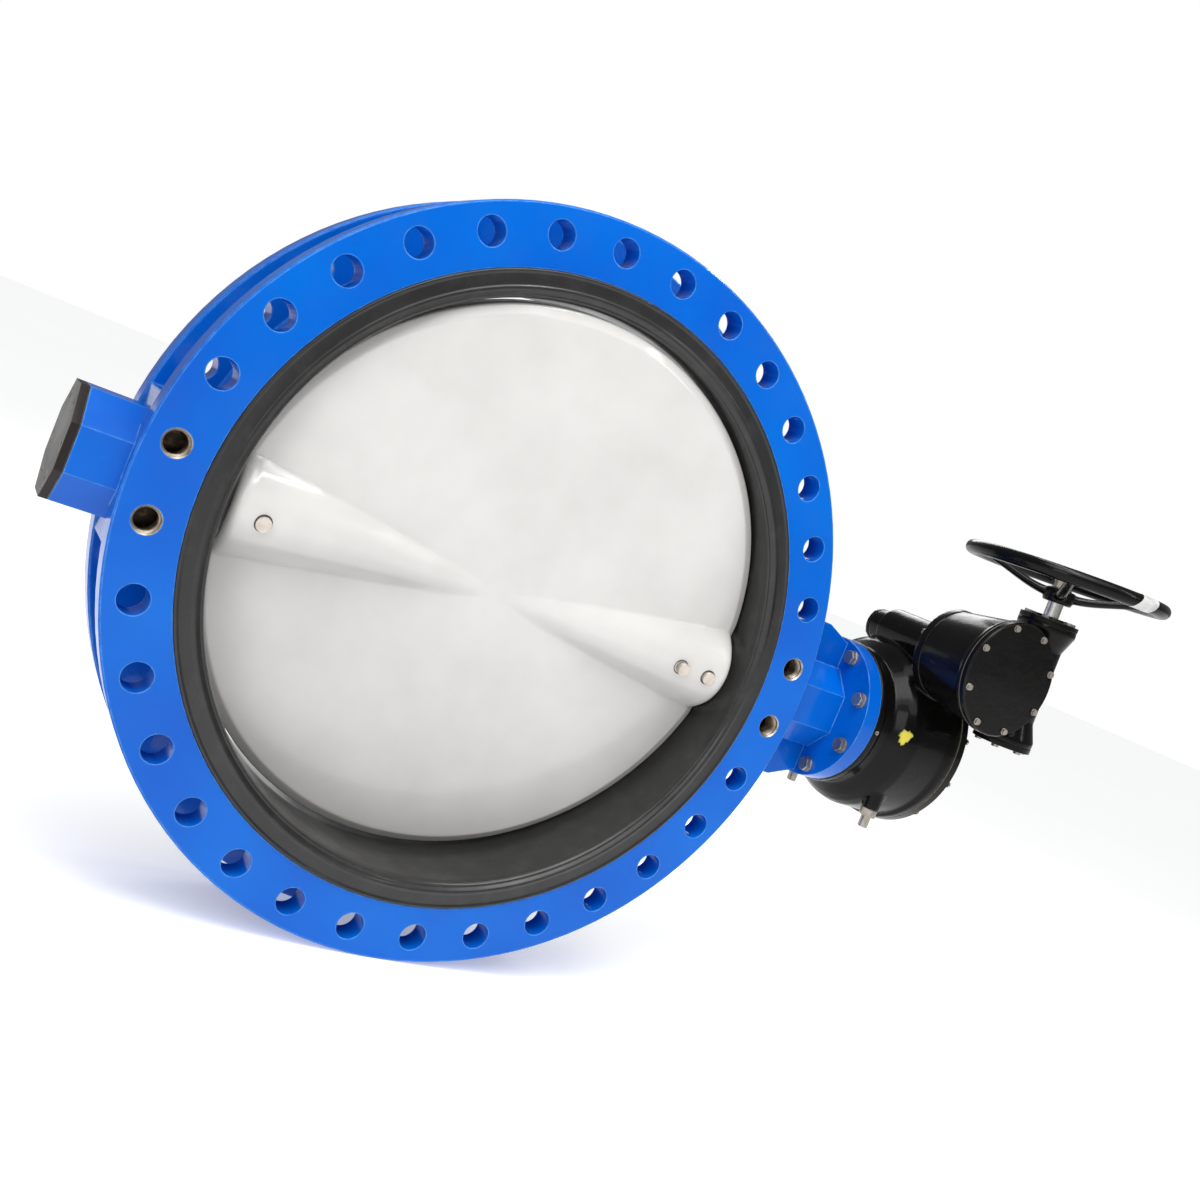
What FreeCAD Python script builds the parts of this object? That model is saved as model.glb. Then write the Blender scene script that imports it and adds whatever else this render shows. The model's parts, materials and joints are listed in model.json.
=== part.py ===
"""Double-flanged centre-line butterfly valve with a two-stage worm gearbox.

Row frame in millimetres: the origin is the centre of the front flange face,
+X runs along the stems towards the gearbox, +Y along the pipe away from the
front flange, and +Z is up. The disc stands nine degrees open.
"""
import FreeCAD, Part
import math
import os
import re
import Sketcher
from FreeCAD import Placement, Rotation, Vector

SIZES = {
    # pipe connection, PN 25 drilling for a 1200 mm bore
    "face_to_face": 254, "flange_r": 765, "flange_depth": 58, "flange_bolt_r": 710,
    "bolt_hole_r": 28, "tapped_hole_r": 23.3, "tapped_mouth_r": 26.3, "tapped_depth": 52,
    "barrel_r": 650, "liner_seat_r": 612, "lip_r": 645, "lip_seat": 10, "lip_stand": 3,
    "edge": 3, "root": 12, "stem_y": 127, "bore_r": 590,
    # bosses that carry the stems
    "neck_half_y": 84, "neck_half_z": 100, "neck_flat": 46, "neck_side": 30, "neck_end": 920,
    "boss_half": 102, "boss_flat": 42, "boss_end": 852, "boss_start": 600,
    "web_half_z": 140, "web_reach": 750, "gusset_half_z": 193, "gusset_top_z": 165,
    "gusset_knee": 850, "gusset_depth": 40,
    # gearbox seat, F30 pattern
    "top_flange_r": 175, "top_flange_end": 960, "top_bolt_r": 149, "top_hole_r": 11,
    "spigot_r": 115, "spigot_depth": 5,
    # stems and their bearings
    "stem_r": 52.5, "stem_root": 370, "lower_stem_end": 823.8, "shoulder_x": 905,
    "drive_r": 50, "drive_end": 1148, "bearing_r": 62.5, "bush_start": 618, "bush_depth": 150,
    "running_gap": 0.05, "packing_start": 780, "packing_step": 14, "packing_count": 4,
    "gland_depth": 30,
    # disc
    "rim_r": 589.09, "rim_half": 22, "plate_half": 33, "bevel_r": 569,
    "hub_face": 575.5, "hub_root_r": 26, "hub_mouth_r": 99, "hub_taper_end": 545,
    "pad_r": 119, "pad_face": 576, "rest_angle": 9, "pin_r": 12.5, "pin_head_r": 15,
    "pin_half": 98, "pin_head": 10,
    # lower end cover
    "gasket": 2, "cover_depth": 14, "cover_spigot": 18, "washer_depth": 12, "cover_bolt_r": 80,
    # first worm stage
    "gear_x": 1103, "worm_z": 234, "wheel_module": 7, "wheel_teeth": 56, "worm_pitch_r": 38,
    "wheel_half": 22, "sector_back": 41, "sector_r": 172, "wheel_hub_r": 92, "hub_half": 45,
    "sector_half_pitches": 9, "worm_half": 50, "backlash": 0.45,
    # first gearbox casing
    "casing_base": 960, "base_r": 177, "casing_waist_r": 170, "drum_r": 214, "rim_flange_r": 222,
    "cavity_r": 206, "cavity_back_r": 190, "cavity_back_x": 1056, "cavity_x": 1074,
    "rim_start": 1165, "rim_end": 1190, "paper": 1, "casing_cover": 24, "worm_tube_r": 57,
    "worm_space_r": 47, "tube_end_y": 224, "joint_y": 53, "joint_flange": 25, "joint_r": 112,
    "joint_bolt_r": 98, "worm_shaft_r": 20, "worm_journal_r": 30,
    # travel stops
    "stop_x": 1074, "stop_offset": 147, "stop_r": 12, "stop_tip_z": 225, "stop_boss_z": 178,
    "stop_boss_r": 22, "stop_dome_z": 46, "stop_nut": 19,
    # second worm stage and its casing
    "second_y": 150, "second_module": 5, "second_teeth": 42, "second_worm_r": 32,
    "second_half": 16, "second_starts": 2, "input_x": 1240, "second_front": 200,
    "second_r": 130, "second_rim_r": 134, "second_rim": 12, "second_cover": 15,
    "second_bolt_r": 121.5, "input_tube_r": 52, "input_space_r": 40, "input_low": 92,
    "input_high": 382, "input_flange_r": 68, "input_flange": 14, "input_cap": 12,
    "input_shaft_r": 18, "input_journal_r": 16, "input_worm_half": 42, "shaft_end": 482,
    "lean_angle": 3,
    # handwheel
    "rim_z": 495, "rim_mid_r": 221, "rim_tube_r": 17, "wheel_hub": 34, "wheel_hub_low": 434,
    "wheel_hub_high": 468, "spoke_count": 4, "spoke_r": 11, "tape_depth": 90, "tape_angle": 96,
}

doc = FreeCAD.newDocument("butterfly_valve")
sheet = doc.addObject("Spreadsheet::Sheet", "Sizes")
for row, (alias, number) in enumerate(SIZES.items(), start=1):
    sheet.set("A%d" % row, alias)
    sheet.set("B%d" % row, str(number))
    sheet.setAlias("B%d" % row, alias)
doc.recompute()

UP, DOWN = (0, 0, 1), (0, 0, -1)
STEM, LOWER = (1, 0, 0), (-1, 0, 0)
FLOW, VIEWER = (0, 1, 0), (0, -1, 0)
ORIGIN = ("0", "0", "0")
STEM_FOOT = ("0", "stem_y", "0")
MADE = {}


def size(formula):
    """Number that a formula in the sheet's names stands for."""
    numbers = re.sub(r"[a-z]\w*", lambda word: str(SIZES.get(word.group(), word.group())), formula)
    return FreeCAD.Units.Quantity(numbers).Value


def cells(formula):
    """The formula with every name pointing at its cell."""
    def cell(word):
        return "Sizes." + word.group() if word.group() in SIZES else word.group()
    return re.sub(r"[a-z]\w*", cell, formula)


def bind(thing, **formulas):
    for name, formula in formulas.items():
        thing.setExpression(name, cells(formula))
    return thing


def put(thing, start, direction, spin=0):
    """Move a thing's own origin to start and aim its own Z along direction."""
    aim = Rotation(Vector(0, 0, 1), Vector(*direction))
    thing.Placement = Placement(Vector(*[size(value) for value in start]),
                                aim * Rotation(Vector(0, 0, 1), spin))
    for axis, value in zip("xyz", start):
        if value != "0":
            thing.setExpression("Placement.Base." + axis, cells(value))
    return thing


def cylinder(name, radius, length, start, direction=UP):
    thing = bind(doc.addObject("Part::Cylinder", name), Radius=radius, Height=length)
    return put(thing, start, direction)


def cone(name, foot, top, length, start, direction=UP):
    thing = bind(doc.addObject("Part::Cone", name), Radius1=foot, Radius2=top, Height=length)
    return put(thing, start, direction)


def ring_tube(name, mid, tube, start, direction=UP):
    thing = bind(doc.addObject("Part::Torus", name), Radius1=mid, Radius2=tube)
    return put(thing, start, direction)


def box(name, length, width, height, corner):
    thing = bind(doc.addObject("Part::Box", name), Length=length, Width=width, Height=height)
    return put(thing, corner, UP)


def prism(name, across, length, start, direction=UP, sides=6, spin=0):
    thing = doc.addObject("Part::Prism", name)
    thing.Polygon = sides
    bind(thing, Circumradius="(%s) / 2 / cos(180 deg / %d)" % (across, sides), Height=length)
    return put(thing, start, direction, spin)


def fuse(name, *things):
    thing = doc.addObject("Part::MultiFuse", name)
    thing.Shapes = list(things)
    return thing


def common(name, *things):
    thing = doc.addObject("Part::MultiCommon", name)
    thing.Shapes = list(things)
    return thing


def cut(name, base, *tools):
    thing = doc.addObject("Part::Cut", name)
    thing.Base = base
    thing.Tool = tools[0] if len(tools) == 1 else fuse(name + "_tools", *tools)
    return thing


def group(name, things):
    thing = doc.addObject("Part::Compound", name)
    thing.Links = list(things)
    return thing


def copies(name, master, placements):
    """The master repeated at each placement, as separate solids."""
    links = []
    for place in placements:
        link = doc.addObject("App::Link", name + "_link")
        link.LinkedObject = master
        link.Placement = place.multiply(master.Placement)
        links.append(link)
    return group(name, links)


def around(centre, direction, radius, angles):
    """Placements round an axis. Angle 0 is +Z, or +X where the axis is vertical."""
    axis = Vector(*direction)
    zero = Vector(1, 0, 0) if abs(axis.z) > 0.5 else Vector(0, 0, 1)
    middle = Vector(*[size(value) for value in centre])
    aim = Rotation(Vector(0, 0, 1), axis)
    for angle in angles:
        turn = Rotation(axis, angle)
        yield Placement(middle + turn.multVec(zero) * size(radius), turn * aim)


def even(count, first=0.0):
    return [first + 360.0 * index / count for index in range(count)]


def sketch(body, role, offset="0"):
    plane = [item for item in body.Origin.OriginFeatures if item.Role == role][0]
    drawing = body.newObject("Sketcher::SketchObject", body.Name + "_sketch")
    drawing.AttachmentSupport = [(plane, "")]
    drawing.MapMode = "FlatFace"
    drawing.AttachmentOffset = Placement(Vector(0, 0, size(offset)), Rotation())
    if offset != "0":
        drawing.setExpression("AttachmentOffset.Base.z", cells(offset))
    return drawing


def pin_point(drawing, edge, end, point):
    """Tie one point of a sketch edge to the sheet."""
    for kind, axis, formula in (("DistanceX", -2, point[0]), ("DistanceY", -1, point[1])):
        if formula == "0":
            drawing.addConstraint(Sketcher.Constraint("PointOnObject", edge, end, axis))
            continue
        tie = Sketcher.Constraint(kind, -1, 1, edge, end, size(formula))
        index = drawing.addConstraint(tie)
        drawing.setExpression("Constraints[%d]" % index, cells(formula))


def outline(drawing, points):
    """Closed outline with straight sides through the points."""
    corners = [Vector(size(u), size(v), 0) for u, v in points]
    first = drawing.GeometryCount
    for start, end in zip(corners, corners[1:] + corners[:1]):
        drawing.addGeometry(Part.LineSegment(start, end))
    for index, point in enumerate(points):
        following = first + (index + 1) % len(points)
        drawing.addConstraint(Sketcher.Constraint("Coincident", first + index, 2, following, 1))
        pin_point(drawing, first + index, 1, point)


def new_body(name):
    return doc.addObject("PartDesign::Body", name)


def turned(name, points, start=ORIGIN, direction=UP):
    """Solid of revolution: points are (radius, height) along its own Z axis."""
    body = new_body(name)
    drawing = sketch(body, "XZ_Plane")
    outline(drawing, points)
    turn = body.newObject("PartDesign::Revolution", name + "_turn")
    turn.Profile = drawing
    turn.ReferenceAxis = (drawing, ["V_Axis"])
    turn.Angle = 360
    return put(body, start, direction)


def pad(body, drawing, length, both=False):
    block = body.newObject("PartDesign::Pad", body.Name + "_pad")
    block.Profile = drawing
    block.setExpression("Length", cells(length))
    if both:
        block.SideType = "Symmetric"
    return block


def slab(name, role, points, length, offset="0", both=False):
    """Flat plate padded from an origin plane."""
    body = new_body(name)
    drawing = sketch(body, role, offset)
    outline(drawing, points)
    pad(body, drawing, length, both)
    return body


def keep(node, thing):
    """Register a finished piece under its node name."""
    thing.Label = node
    MADE[node] = thing
    return thing


def keep_leaning(node, thing):
    """Register a piece of the second gearbox, turned with it about the first worm's axis."""
    thing.Label = node + "_square"
    turned_group = group(node, [thing])
    turned_group.Placement = LEAN
    return keep(node, turned_group)


def tube(name, inner, outer, length, start, direction=UP):
    return turned(name, [(inner, "0"), (outer, "0"), (outer, length), (inner, length)],
                  start, direction)


def hex_screw(name, thread, length, across, head, washer="0"):
    """Screw with its shank along -Z, its seat at Z = 0 and a chamfered hexagon head."""
    blank = prism(name + "_hexagon", across, head, ("0", "0", washer))
    trim = cone(name + "_trim", "(%s) / 2 + 1.732 * (%s)" % (across, head), "(%s) * 0.48" % across,
                head, ("0", "0", washer))
    shank = cylinder(name + "_shank", thread, length, ("0", "0", "-(%s)" % length))
    solids = [common(name + "_head", blank, trim), shank]
    if washer != "0":
        solids.append(cylinder(name + "_washer", "(%s) * 0.62" % across, washer, ORIGIN))
    return fuse(name, *solids)


def octagon(half_u, half_v, flat_v, flat_u):
    """Eight corners from the half sizes and the half lengths of the v and u flats."""
    quarter = ((flat_v, half_v), (half_u, flat_u))
    corners = []
    for sign_u, sign_v, order in (("", "", 1), ("", "-", -1), ("-", "-", 1), ("-", "", -1)):
        corners += [(sign_u + u, sign_v + v) for u, v in quarter[::order]]
    return corners


# ---------------------------------------------------------------- valve body
FACES = (("0", FLOW), ("face_to_face", VIEWER))
TAPPED = (84.375, 95.625, 264.375, 275.625)
CLEAR = [angle for angle in even(32, 5.625) if angle not in TAPPED]
TOP_BOLTS = even(8, 22.5)
COVER_BOLTS = even(6, 30)


def valve_body():
    rings = turned("body_rings", [
        ("liner_seat_r", "lip_seat"), ("lip_r", "lip_seat"), ("lip_r", "0"),
        ("flange_r - edge", "0"), ("flange_r", "edge"), ("flange_r", "flange_depth - edge"),
        ("flange_r - edge", "flange_depth"), ("barrel_r + root", "flange_depth"),
        ("barrel_r", "flange_depth + root"), ("barrel_r", "face_to_face - flange_depth - root"),
        ("barrel_r + root", "face_to_face - flange_depth"),
        ("flange_r - edge", "face_to_face - flange_depth"),
        ("flange_r", "face_to_face - flange_depth + edge"), ("flange_r", "face_to_face - edge"),
        ("flange_r - edge", "face_to_face"), ("lip_r", "face_to_face"),
        ("lip_r", "face_to_face - lip_seat"), ("liner_seat_r", "face_to_face - lip_seat"),
    ], ORIGIN, FLOW)
    neck = slab("body_neck", "YZ_Plane", octagon("neck_half_y", "neck_half_z", "neck_side", "neck_flat"),
                "neck_end - boss_start", "boss_start")
    boss = slab("body_boss", "YZ_Plane", octagon("boss_half", "boss_half", "boss_flat", "boss_flat"),
                "boss_end - boss_start", "-boss_end")
    gusset = slab("body_gusset", "XZ_Plane", [
        ("barrel_r", "-web_half_z"), ("flange_r - edge", "-gusset_half_z"),
        ("gusset_knee", "-gusset_half_z"), ("neck_end", "-gusset_top_z"),
        ("neck_end", "gusset_top_z"), ("gusset_knee", "gusset_half_z"),
        ("flange_r - edge", "gusset_half_z"), ("barrel_r", "web_half_z")], "gusset_depth", both=True)
    for block in (neck, boss, gusset):
        put(block, STEM_FOOT, UP)
    webs = [box("body_web", "web_reach - boss_start", "face_to_face - 2 * flange_depth",
                "2 * web_half_z", (corner, "flange_depth", "-web_half_z"))
            for corner in ("boss_start", "-web_reach")]
    seat = cylinder("body_top_flange", "top_flange_r", "top_flange_end - neck_end",
                    ("neck_end", "stem_y", "0"), STEM)
    solid = fuse("body_casting", rings, neck, boss, gusset, *webs, seat)

    bore = cylinder("body_bore", "liner_seat_r", "face_to_face", ORIGIN, FLOW)
    stem_bore = cylinder("stem_bore", "bearing_r", "boss_end + top_flange_end",
                         ("-boss_end", "stem_y", "0"), STEM)
    spigot = cylinder("spigot_seat", "spigot_r + running_gap", "spigot_depth",
                      ("top_flange_end - spigot_depth", "stem_y", "0"), STEM)
    drill = cylinder("flange_drill", "bolt_hole_r", "face_to_face", ORIGIN)
    tools = [bore, stem_bore, spigot,
             copies("flange_holes", drill, around(ORIGIN, FLOW, "flange_bolt_r", CLEAR))]
    tap = fuse("flange_tap", cylinder("tap_core", "tapped_hole_r", "tapped_depth", ORIGIN),
               cone("tap_mouth", "tapped_mouth_r", "tapped_hole_r", "edge", ORIGIN))
    for face, inward in FACES:
        tools.append(copies("tapped_holes", tap, around(("0", face, "0"), inward,
                                                        "flange_bolt_r", TAPPED)))
    top_drill = cylinder("top_drill", "top_hole_r", "top_flange_end - neck_end", ORIGIN)
    tools.append(copies("top_holes", top_drill, around(("neck_end", "stem_y", "0"), STEM,
                                                       "top_bolt_r", TOP_BOLTS)))
    cover_tap = cylinder("cover_tap", "8 + running_gap", "40", ORIGIN)
    tools.append(copies("cover_taps", cover_tap, around(("-boss_end", "stem_y", "0"), STEM,
                                                        "cover_bolt_r", COVER_BOLTS)))
    keep("valve_body", cut("valve_body", solid, *tools))


def seat_liner():
    """Rubber seat with a lip on each flange face and a flat pad round each stem."""
    sleeve = turned("liner_sleeve", [
        ("bore_r", "lip_seat + 8"), ("bore_r + 2", "5"), ("bore_r + 8", "0"),
        ("bore_r + 18", "-lip_stand"), ("lip_r - 4", "-lip_stand"), ("lip_r", "1"),
        ("lip_r", "lip_seat"), ("liner_seat_r", "lip_seat"),
        ("liner_seat_r", "face_to_face - lip_seat"), ("lip_r", "face_to_face - lip_seat"),
        ("lip_r", "face_to_face - 1"), ("lip_r - 4", "face_to_face + lip_stand"),
        ("bore_r + 18", "face_to_face + lip_stand"), ("bore_r + 8", "face_to_face"),
        ("bore_r + 2", "face_to_face - 5"), ("bore_r", "face_to_face - lip_seat - 8"),
    ], ORIGIN, FLOW)
    pads = [cylinder("liner_pad", "pad_r", "liner_seat_r - pad_face", (face, "stem_y", "0"), STEM)
            for face in ("pad_face", "-liner_seat_r")]
    rounds = cylinder("liner_outside", "liner_seat_r", "face_to_face", ORIGIN, FLOW)
    passage = cylinder("liner_passage", "stem_r + running_gap", "2 * barrel_r",
                       ("-barrel_r", "stem_y", "0"), STEM)
    solid = fuse("liner_solid", sleeve, common("liner_pads", fuse("pad_pair", *pads), rounds))
    keep("seat_liner", cut("seat_liner", solid, passage))


def body_bearings():
    gap_r = "stem_r + running_gap"
    keep("upper_stem_bush", tube("upper_stem_bush", gap_r, "bearing_r", "bush_depth",
                                 ("bush_start", "stem_y", "0"), STEM))
    keep("lower_stem_bush", tube("lower_stem_bush", gap_r, "bearing_r", "bush_depth",
                                 ("-bush_start", "stem_y", "0"), LOWER))
    ring = tube("packing_ring", gap_r, "bearing_r", "packing_step - 2", ORIGIN, STEM)
    places = [Placement(Vector(size("packing_start + %d * packing_step" % index), size("stem_y"), 0),
                        Rotation()) for index in range(SIZES["packing_count"])]
    keep("stem_packing", copies("stem_packing", ring, places))
    keep("packing_gland", tube("packing_gland", gap_r, "bearing_r", "gland_depth",
                               ("packing_start + packing_count * packing_step", "stem_y", "0"), STEM))


def lower_cover():
    face = octagon("boss_half", "boss_half", "boss_flat", "boss_flat")
    drill = cylinder("cover_drill", "8 + 0.5", "cover_depth + gasket", ORIGIN)
    sink = cone("cover_sink", "16 + running_gap", "8 + running_gap", "8", ORIGIN)
    screw = fuse("cover_screw", cone("cover_head", "16", "8", "8", ORIGIN),
                 cylinder("cover_shank", "8", "48", ORIGIN))
    socket = cut("cover_socket_screw", screw, prism("cover_socket", "10", "5", ORIGIN))
    outside = ("-boss_end - gasket - cover_depth", "stem_y", "0")

    plate = slab("cover_plate", "YZ_Plane", face, "cover_depth", "-boss_end - gasket - cover_depth")
    plug = cylinder("cover_plug", "bearing_r - 0.2", "cover_spigot",
                    ("-boss_end - gasket", "stem_y", "0"), STEM)
    sheet_ring = slab("gasket_sheet", "YZ_Plane", face, "gasket", "-boss_end - gasket")
    for flat in (plate, sheet_ring):
        put(flat, STEM_FOOT, UP)
    holes = copies("cover_holes", drill, around(outside, STEM, "cover_bolt_r", COVER_BOLTS))
    sinks = copies("cover_sinks", sink, around(outside, STEM, "cover_bolt_r", COVER_BOLTS))
    middle = cylinder("gasket_hole", "bearing_r", "2 * gasket", ("-boss_end - gasket", "stem_y", "0"), STEM)
    keep("lower_end_cover", cut("lower_end_cover", fuse("cover_solid", plate, plug), holes, sinks))
    keep("lower_cover_gasket", cut("lower_cover_gasket", sheet_ring, middle, holes))
    keep("lower_cover_screws", copies("lower_cover_screws", socket,
                                      around(outside, STEM, "cover_bolt_r", COVER_BOLTS)))
    keep("thrust_washer", cylinder("thrust_washer", "bearing_r - 2", "washer_depth",
                                   ("-boss_end - gasket + cover_spigot", "stem_y", "0"), STEM))


# ---------------------------------------------------------------- disc and stems
TILT = Placement(Vector(0, SIZES["stem_y"], 0), Rotation(Vector(1, 0, 0), SIZES["rest_angle"]))
FLAT = Placement(Vector(), Rotation(Vector(1, 0, 0), -90))


def disc():
    """Disc and pins made lying flat, then stood up and tilted about the stem axis."""
    plate = turned("disc_plate", [
        ("0", "-plate_half"), ("bevel_r", "-plate_half"), ("rim_r", "-rim_half"),
        ("rim_r", "rim_half"), ("bevel_r", "plate_half"), ("0", "plate_half")])
    hub = turned("disc_hub", [
        ("0", "-hub_face"), ("hub_mouth_r", "-hub_face"), ("hub_mouth_r", "-hub_taper_end"),
        ("hub_root_r", "0"), ("hub_mouth_r", "hub_taper_end"), ("hub_mouth_r", "hub_face"),
        ("0", "hub_face")], ORIGIN, STEM)
    bores = [cylinder("disc_bore", "stem_r", "hub_face - stem_root", (place, "0", "0"), STEM)
             for place in ("stem_root", "-hub_face")]
    width = box("disc_width", "2 * hub_face", "2 * flange_r", "2 * boss_half",
                ("-hub_face", "-flange_r", "-boss_half"))
    solid = fuse("disc_solid", common("disc_trimmed", plate, width), hub)
    pins = []
    for place in ("-513", "451", "521"):
        shank = cylinder("pin_shank", "pin_r", "2 * pin_half", (place, "0", "-pin_half"))
        head = cylinder("pin_head", "pin_head_r", "pin_head", (place, "0", "-pin_half - pin_head / 2"))
        pins.append(fuse("disc_pin", shank, head))
    pin_group = group("flat_pins", pins)
    flat_disc = cut("disc", solid, *bores, pin_group)
    flat_disc.Placement = TILT.multiply(FLAT)
    keep("disc", flat_disc)
    keep("disc_pins", copies("disc_pins", pin_group, [TILT.multiply(FLAT)]))


def stems(pin_group):
    slot = box("stem_key", "80", "28", "16", ("gear_x - 40", "stem_y - 14", "drive_r - 8"))
    upper = turned("upper_stem_shaft", [
        ("0", "stem_root"), ("stem_r", "stem_root"), ("stem_r", "shoulder_x"),
        ("drive_r", "shoulder_x + 4"), ("drive_r", "drive_end - 3"), ("drive_r - 3", "drive_end"),
        ("0", "drive_end")], STEM_FOOT, STEM)
    lower = turned("lower_stem_shaft", [
        ("0", "stem_root"), ("stem_r", "stem_root"), ("stem_r", "lower_stem_end - 3"),
        ("stem_r - 3", "lower_stem_end"), ("0", "lower_stem_end")], STEM_FOOT, LOWER)
    end_taps = copies("stem_end_taps", cylinder("end_tap", "8 + running_gap", "30", ORIGIN),
                      around(("drive_end - 30", "stem_y", "0"), STEM, "28", even(3)))
    keep("stem_key", slot)
    keep("upper_stem", cut("upper_stem", upper, pin_group, slot, end_taps))
    keep("lower_stem", cut("lower_stem", lower, pin_group))
    plate = cylinder("end_plate_disc", "62", "10", ("gear_x + hub_half", "stem_y", "0"), STEM)
    holes = copies("end_plate_holes", cylinder("end_drill", "8 + 0.5", "10", ORIGIN),
                   around(("gear_x + hub_half", "stem_y", "0"), STEM, "28", even(3)))
    keep("stem_end_plate", cut("stem_end_plate", plate, holes))
    screw = hex_screw("end_screw", "8", "38", "24", "10")
    keep("stem_end_screws", copies("stem_end_screws", screw, around(
        ("gear_x + hub_half + 10", "stem_y", "0"), STEM, "28", even(3))))


# ---------------------------------------------------------------- worm stages
def involute(angle):
    return math.tan(angle) - angle


def tooth_half_angle(radius, module, teeth):
    """Half the angle that a tooth fills at a radius, thinned by the running backlash."""
    pitch_r = module * teeth / 2
    base_r = pitch_r * math.cos(math.radians(20))
    at_pitch = math.pi / 2 / teeth - size("backlash") / pitch_r
    return at_pitch + involute(math.radians(20)) - involute(math.acos(base_r / radius))


def toothed_face(module, teeth, tooth_angles, close):
    """Outline of worm wheel teeth, closed by the function close if it isn't a full ring."""
    pitch_r = module * teeth / 2
    radii = (pitch_r - 1.25 * module, pitch_r, pitch_r + module)

    def at(radius, angle):
        return Vector(radius * math.cos(angle), radius * math.sin(angle), 0)

    def arc(radius, start, end):
        return Part.Arc(at(radius, start), at(radius, (start + end) / 2), at(radius, end)).toShape()

    halves = [tooth_half_angle(radius, module, teeth) for radius in radii]
    half_pitch = math.pi / teeth
    edges = []
    for middle in tooth_angles:
        rise = [at(radius, middle - half) for radius, half in zip(radii, halves)]
        fall = [at(radius, middle + half) for radius, half in zip(radii, halves)]
        edges += [arc(radii[0], middle - half_pitch, middle - halves[0]),
                  Part.Arc(*rise).toShape(),
                  arc(radii[2], middle - halves[2], middle + halves[2]),
                  Part.Arc(*fall[::-1]).toShape(),
                  arc(radii[0], middle + halves[0], middle + half_pitch)]
    edges += close(at, arc, radii[0])
    return Part.Wire(edges)


def twisted(wire, half_width, twist):
    """Solid between two copies of an outline that are turned a little apart."""
    ends = []
    for side in (-1, 1):
        end = wire.copy()
        end.rotate(Vector(0, 0, 0), Vector(0, 0, 1), math.degrees(twist) * side)
        end.translate(Vector(0, 0, half_width * side))
        ends.append(end)
    return Part.makeLoft(ends, True, True)


def thread(module, starts, pitch_r, turns):
    """Right-handed trapezoid thread that starts on the -Z end at local +X."""
    lead = math.pi * module * starts
    foot_r = pitch_r - 1.25 * module - 0.5
    half = math.pi * module / 4 - size("backlash")
    slope = math.tan(math.radians(20))
    corners = []
    for radius in (foot_r, pitch_r + module):
        reach = half + (pitch_r - radius) * slope
        corners += [(radius, -reach), (radius, reach)]
    order = (corners[0], corners[2], corners[3], corners[1], corners[0])
    profile = Part.makePolygon([Vector(radius, 0, height) for radius, height in order])
    path = Part.Wire(Part.makeHelix(lead, lead * turns, pitch_r))
    return path.makePipeShell([profile], True, True)


def shape(name, solid, placement):
    """Solid made by Part's own functions, as a document object."""
    thing = doc.addObject("Part::Feature", name)
    thing.Shape = solid
    thing.Placement = placement
    return thing


LEAN = Placement(Vector(), Rotation(Vector(0, 1, 0), -SIZES["lean_angle"]),
                 Vector(SIZES["gear_x"], 0, SIZES["worm_z"]))
WHEEL_TO_WORM = 36
PITCH_ANGLE = 2 * math.pi / SIZES["wheel_teeth"]


def worm_wheel():
    """Quadrant whose middle faces the worm at mid travel, and whose ends meet the stops."""
    module, teeth = SIZES["wheel_module"], SIZES["wheel_teeth"]
    count = SIZES["sector_half_pitches"]
    limit = count * PITCH_ANGLE
    inner = size("sector_r - 8")

    def close(at, arc, root_r):
        return [Part.makeLine(at(root_r, limit), at(inner, limit)), arc(inner, limit, -limit),
                Part.makeLine(at(inner, -limit), at(root_r, -limit))]

    teeth_at = [(index + 0.5) * PITCH_ANGLE for index in range(-count, count)]
    half = size("wheel_half")
    twist = half * module / 2 / (size("worm_pitch_r") * module * teeth / 2)
    rim = twisted(toothed_face(module, teeth, teeth_at, close), half, twist)
    plate = Part.makeCylinder(size("sector_r"), size("sector_back + wheel_half"),
                              Vector(0, 0, -size("sector_back")), Vector(0, 0, 1),
                              math.degrees(2 * limit))
    plate.rotate(Vector(0, 0, 0), Vector(0, 0, 1), -math.degrees(limit))
    hub = Part.makeCylinder(size("wheel_hub_r"), size("2 * hub_half"), Vector(0, 0, -size("hub_half")))
    bore = Part.makeCylinder(size("drive_r"), size("2 * hub_half"), Vector(0, 0, -size("hub_half")))
    solid = hub.fuse([plate, rim]).cut(bore)
    facing = Rotation(Vector(0, 0, 1), Vector(0, -1, 0), Vector(1, 0, 0), "ZXY")
    turn = Rotation(Vector(1, 0, 0), -WHEEL_TO_WORM)
    blank = shape("worm_wheel_blank", solid,
                  Placement(Vector(size("gear_x"), size("stem_y"), 0), turn * facing))
    keep("worm_wheel", cut("worm_wheel", blank, MADE["stem_key"]))


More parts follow.
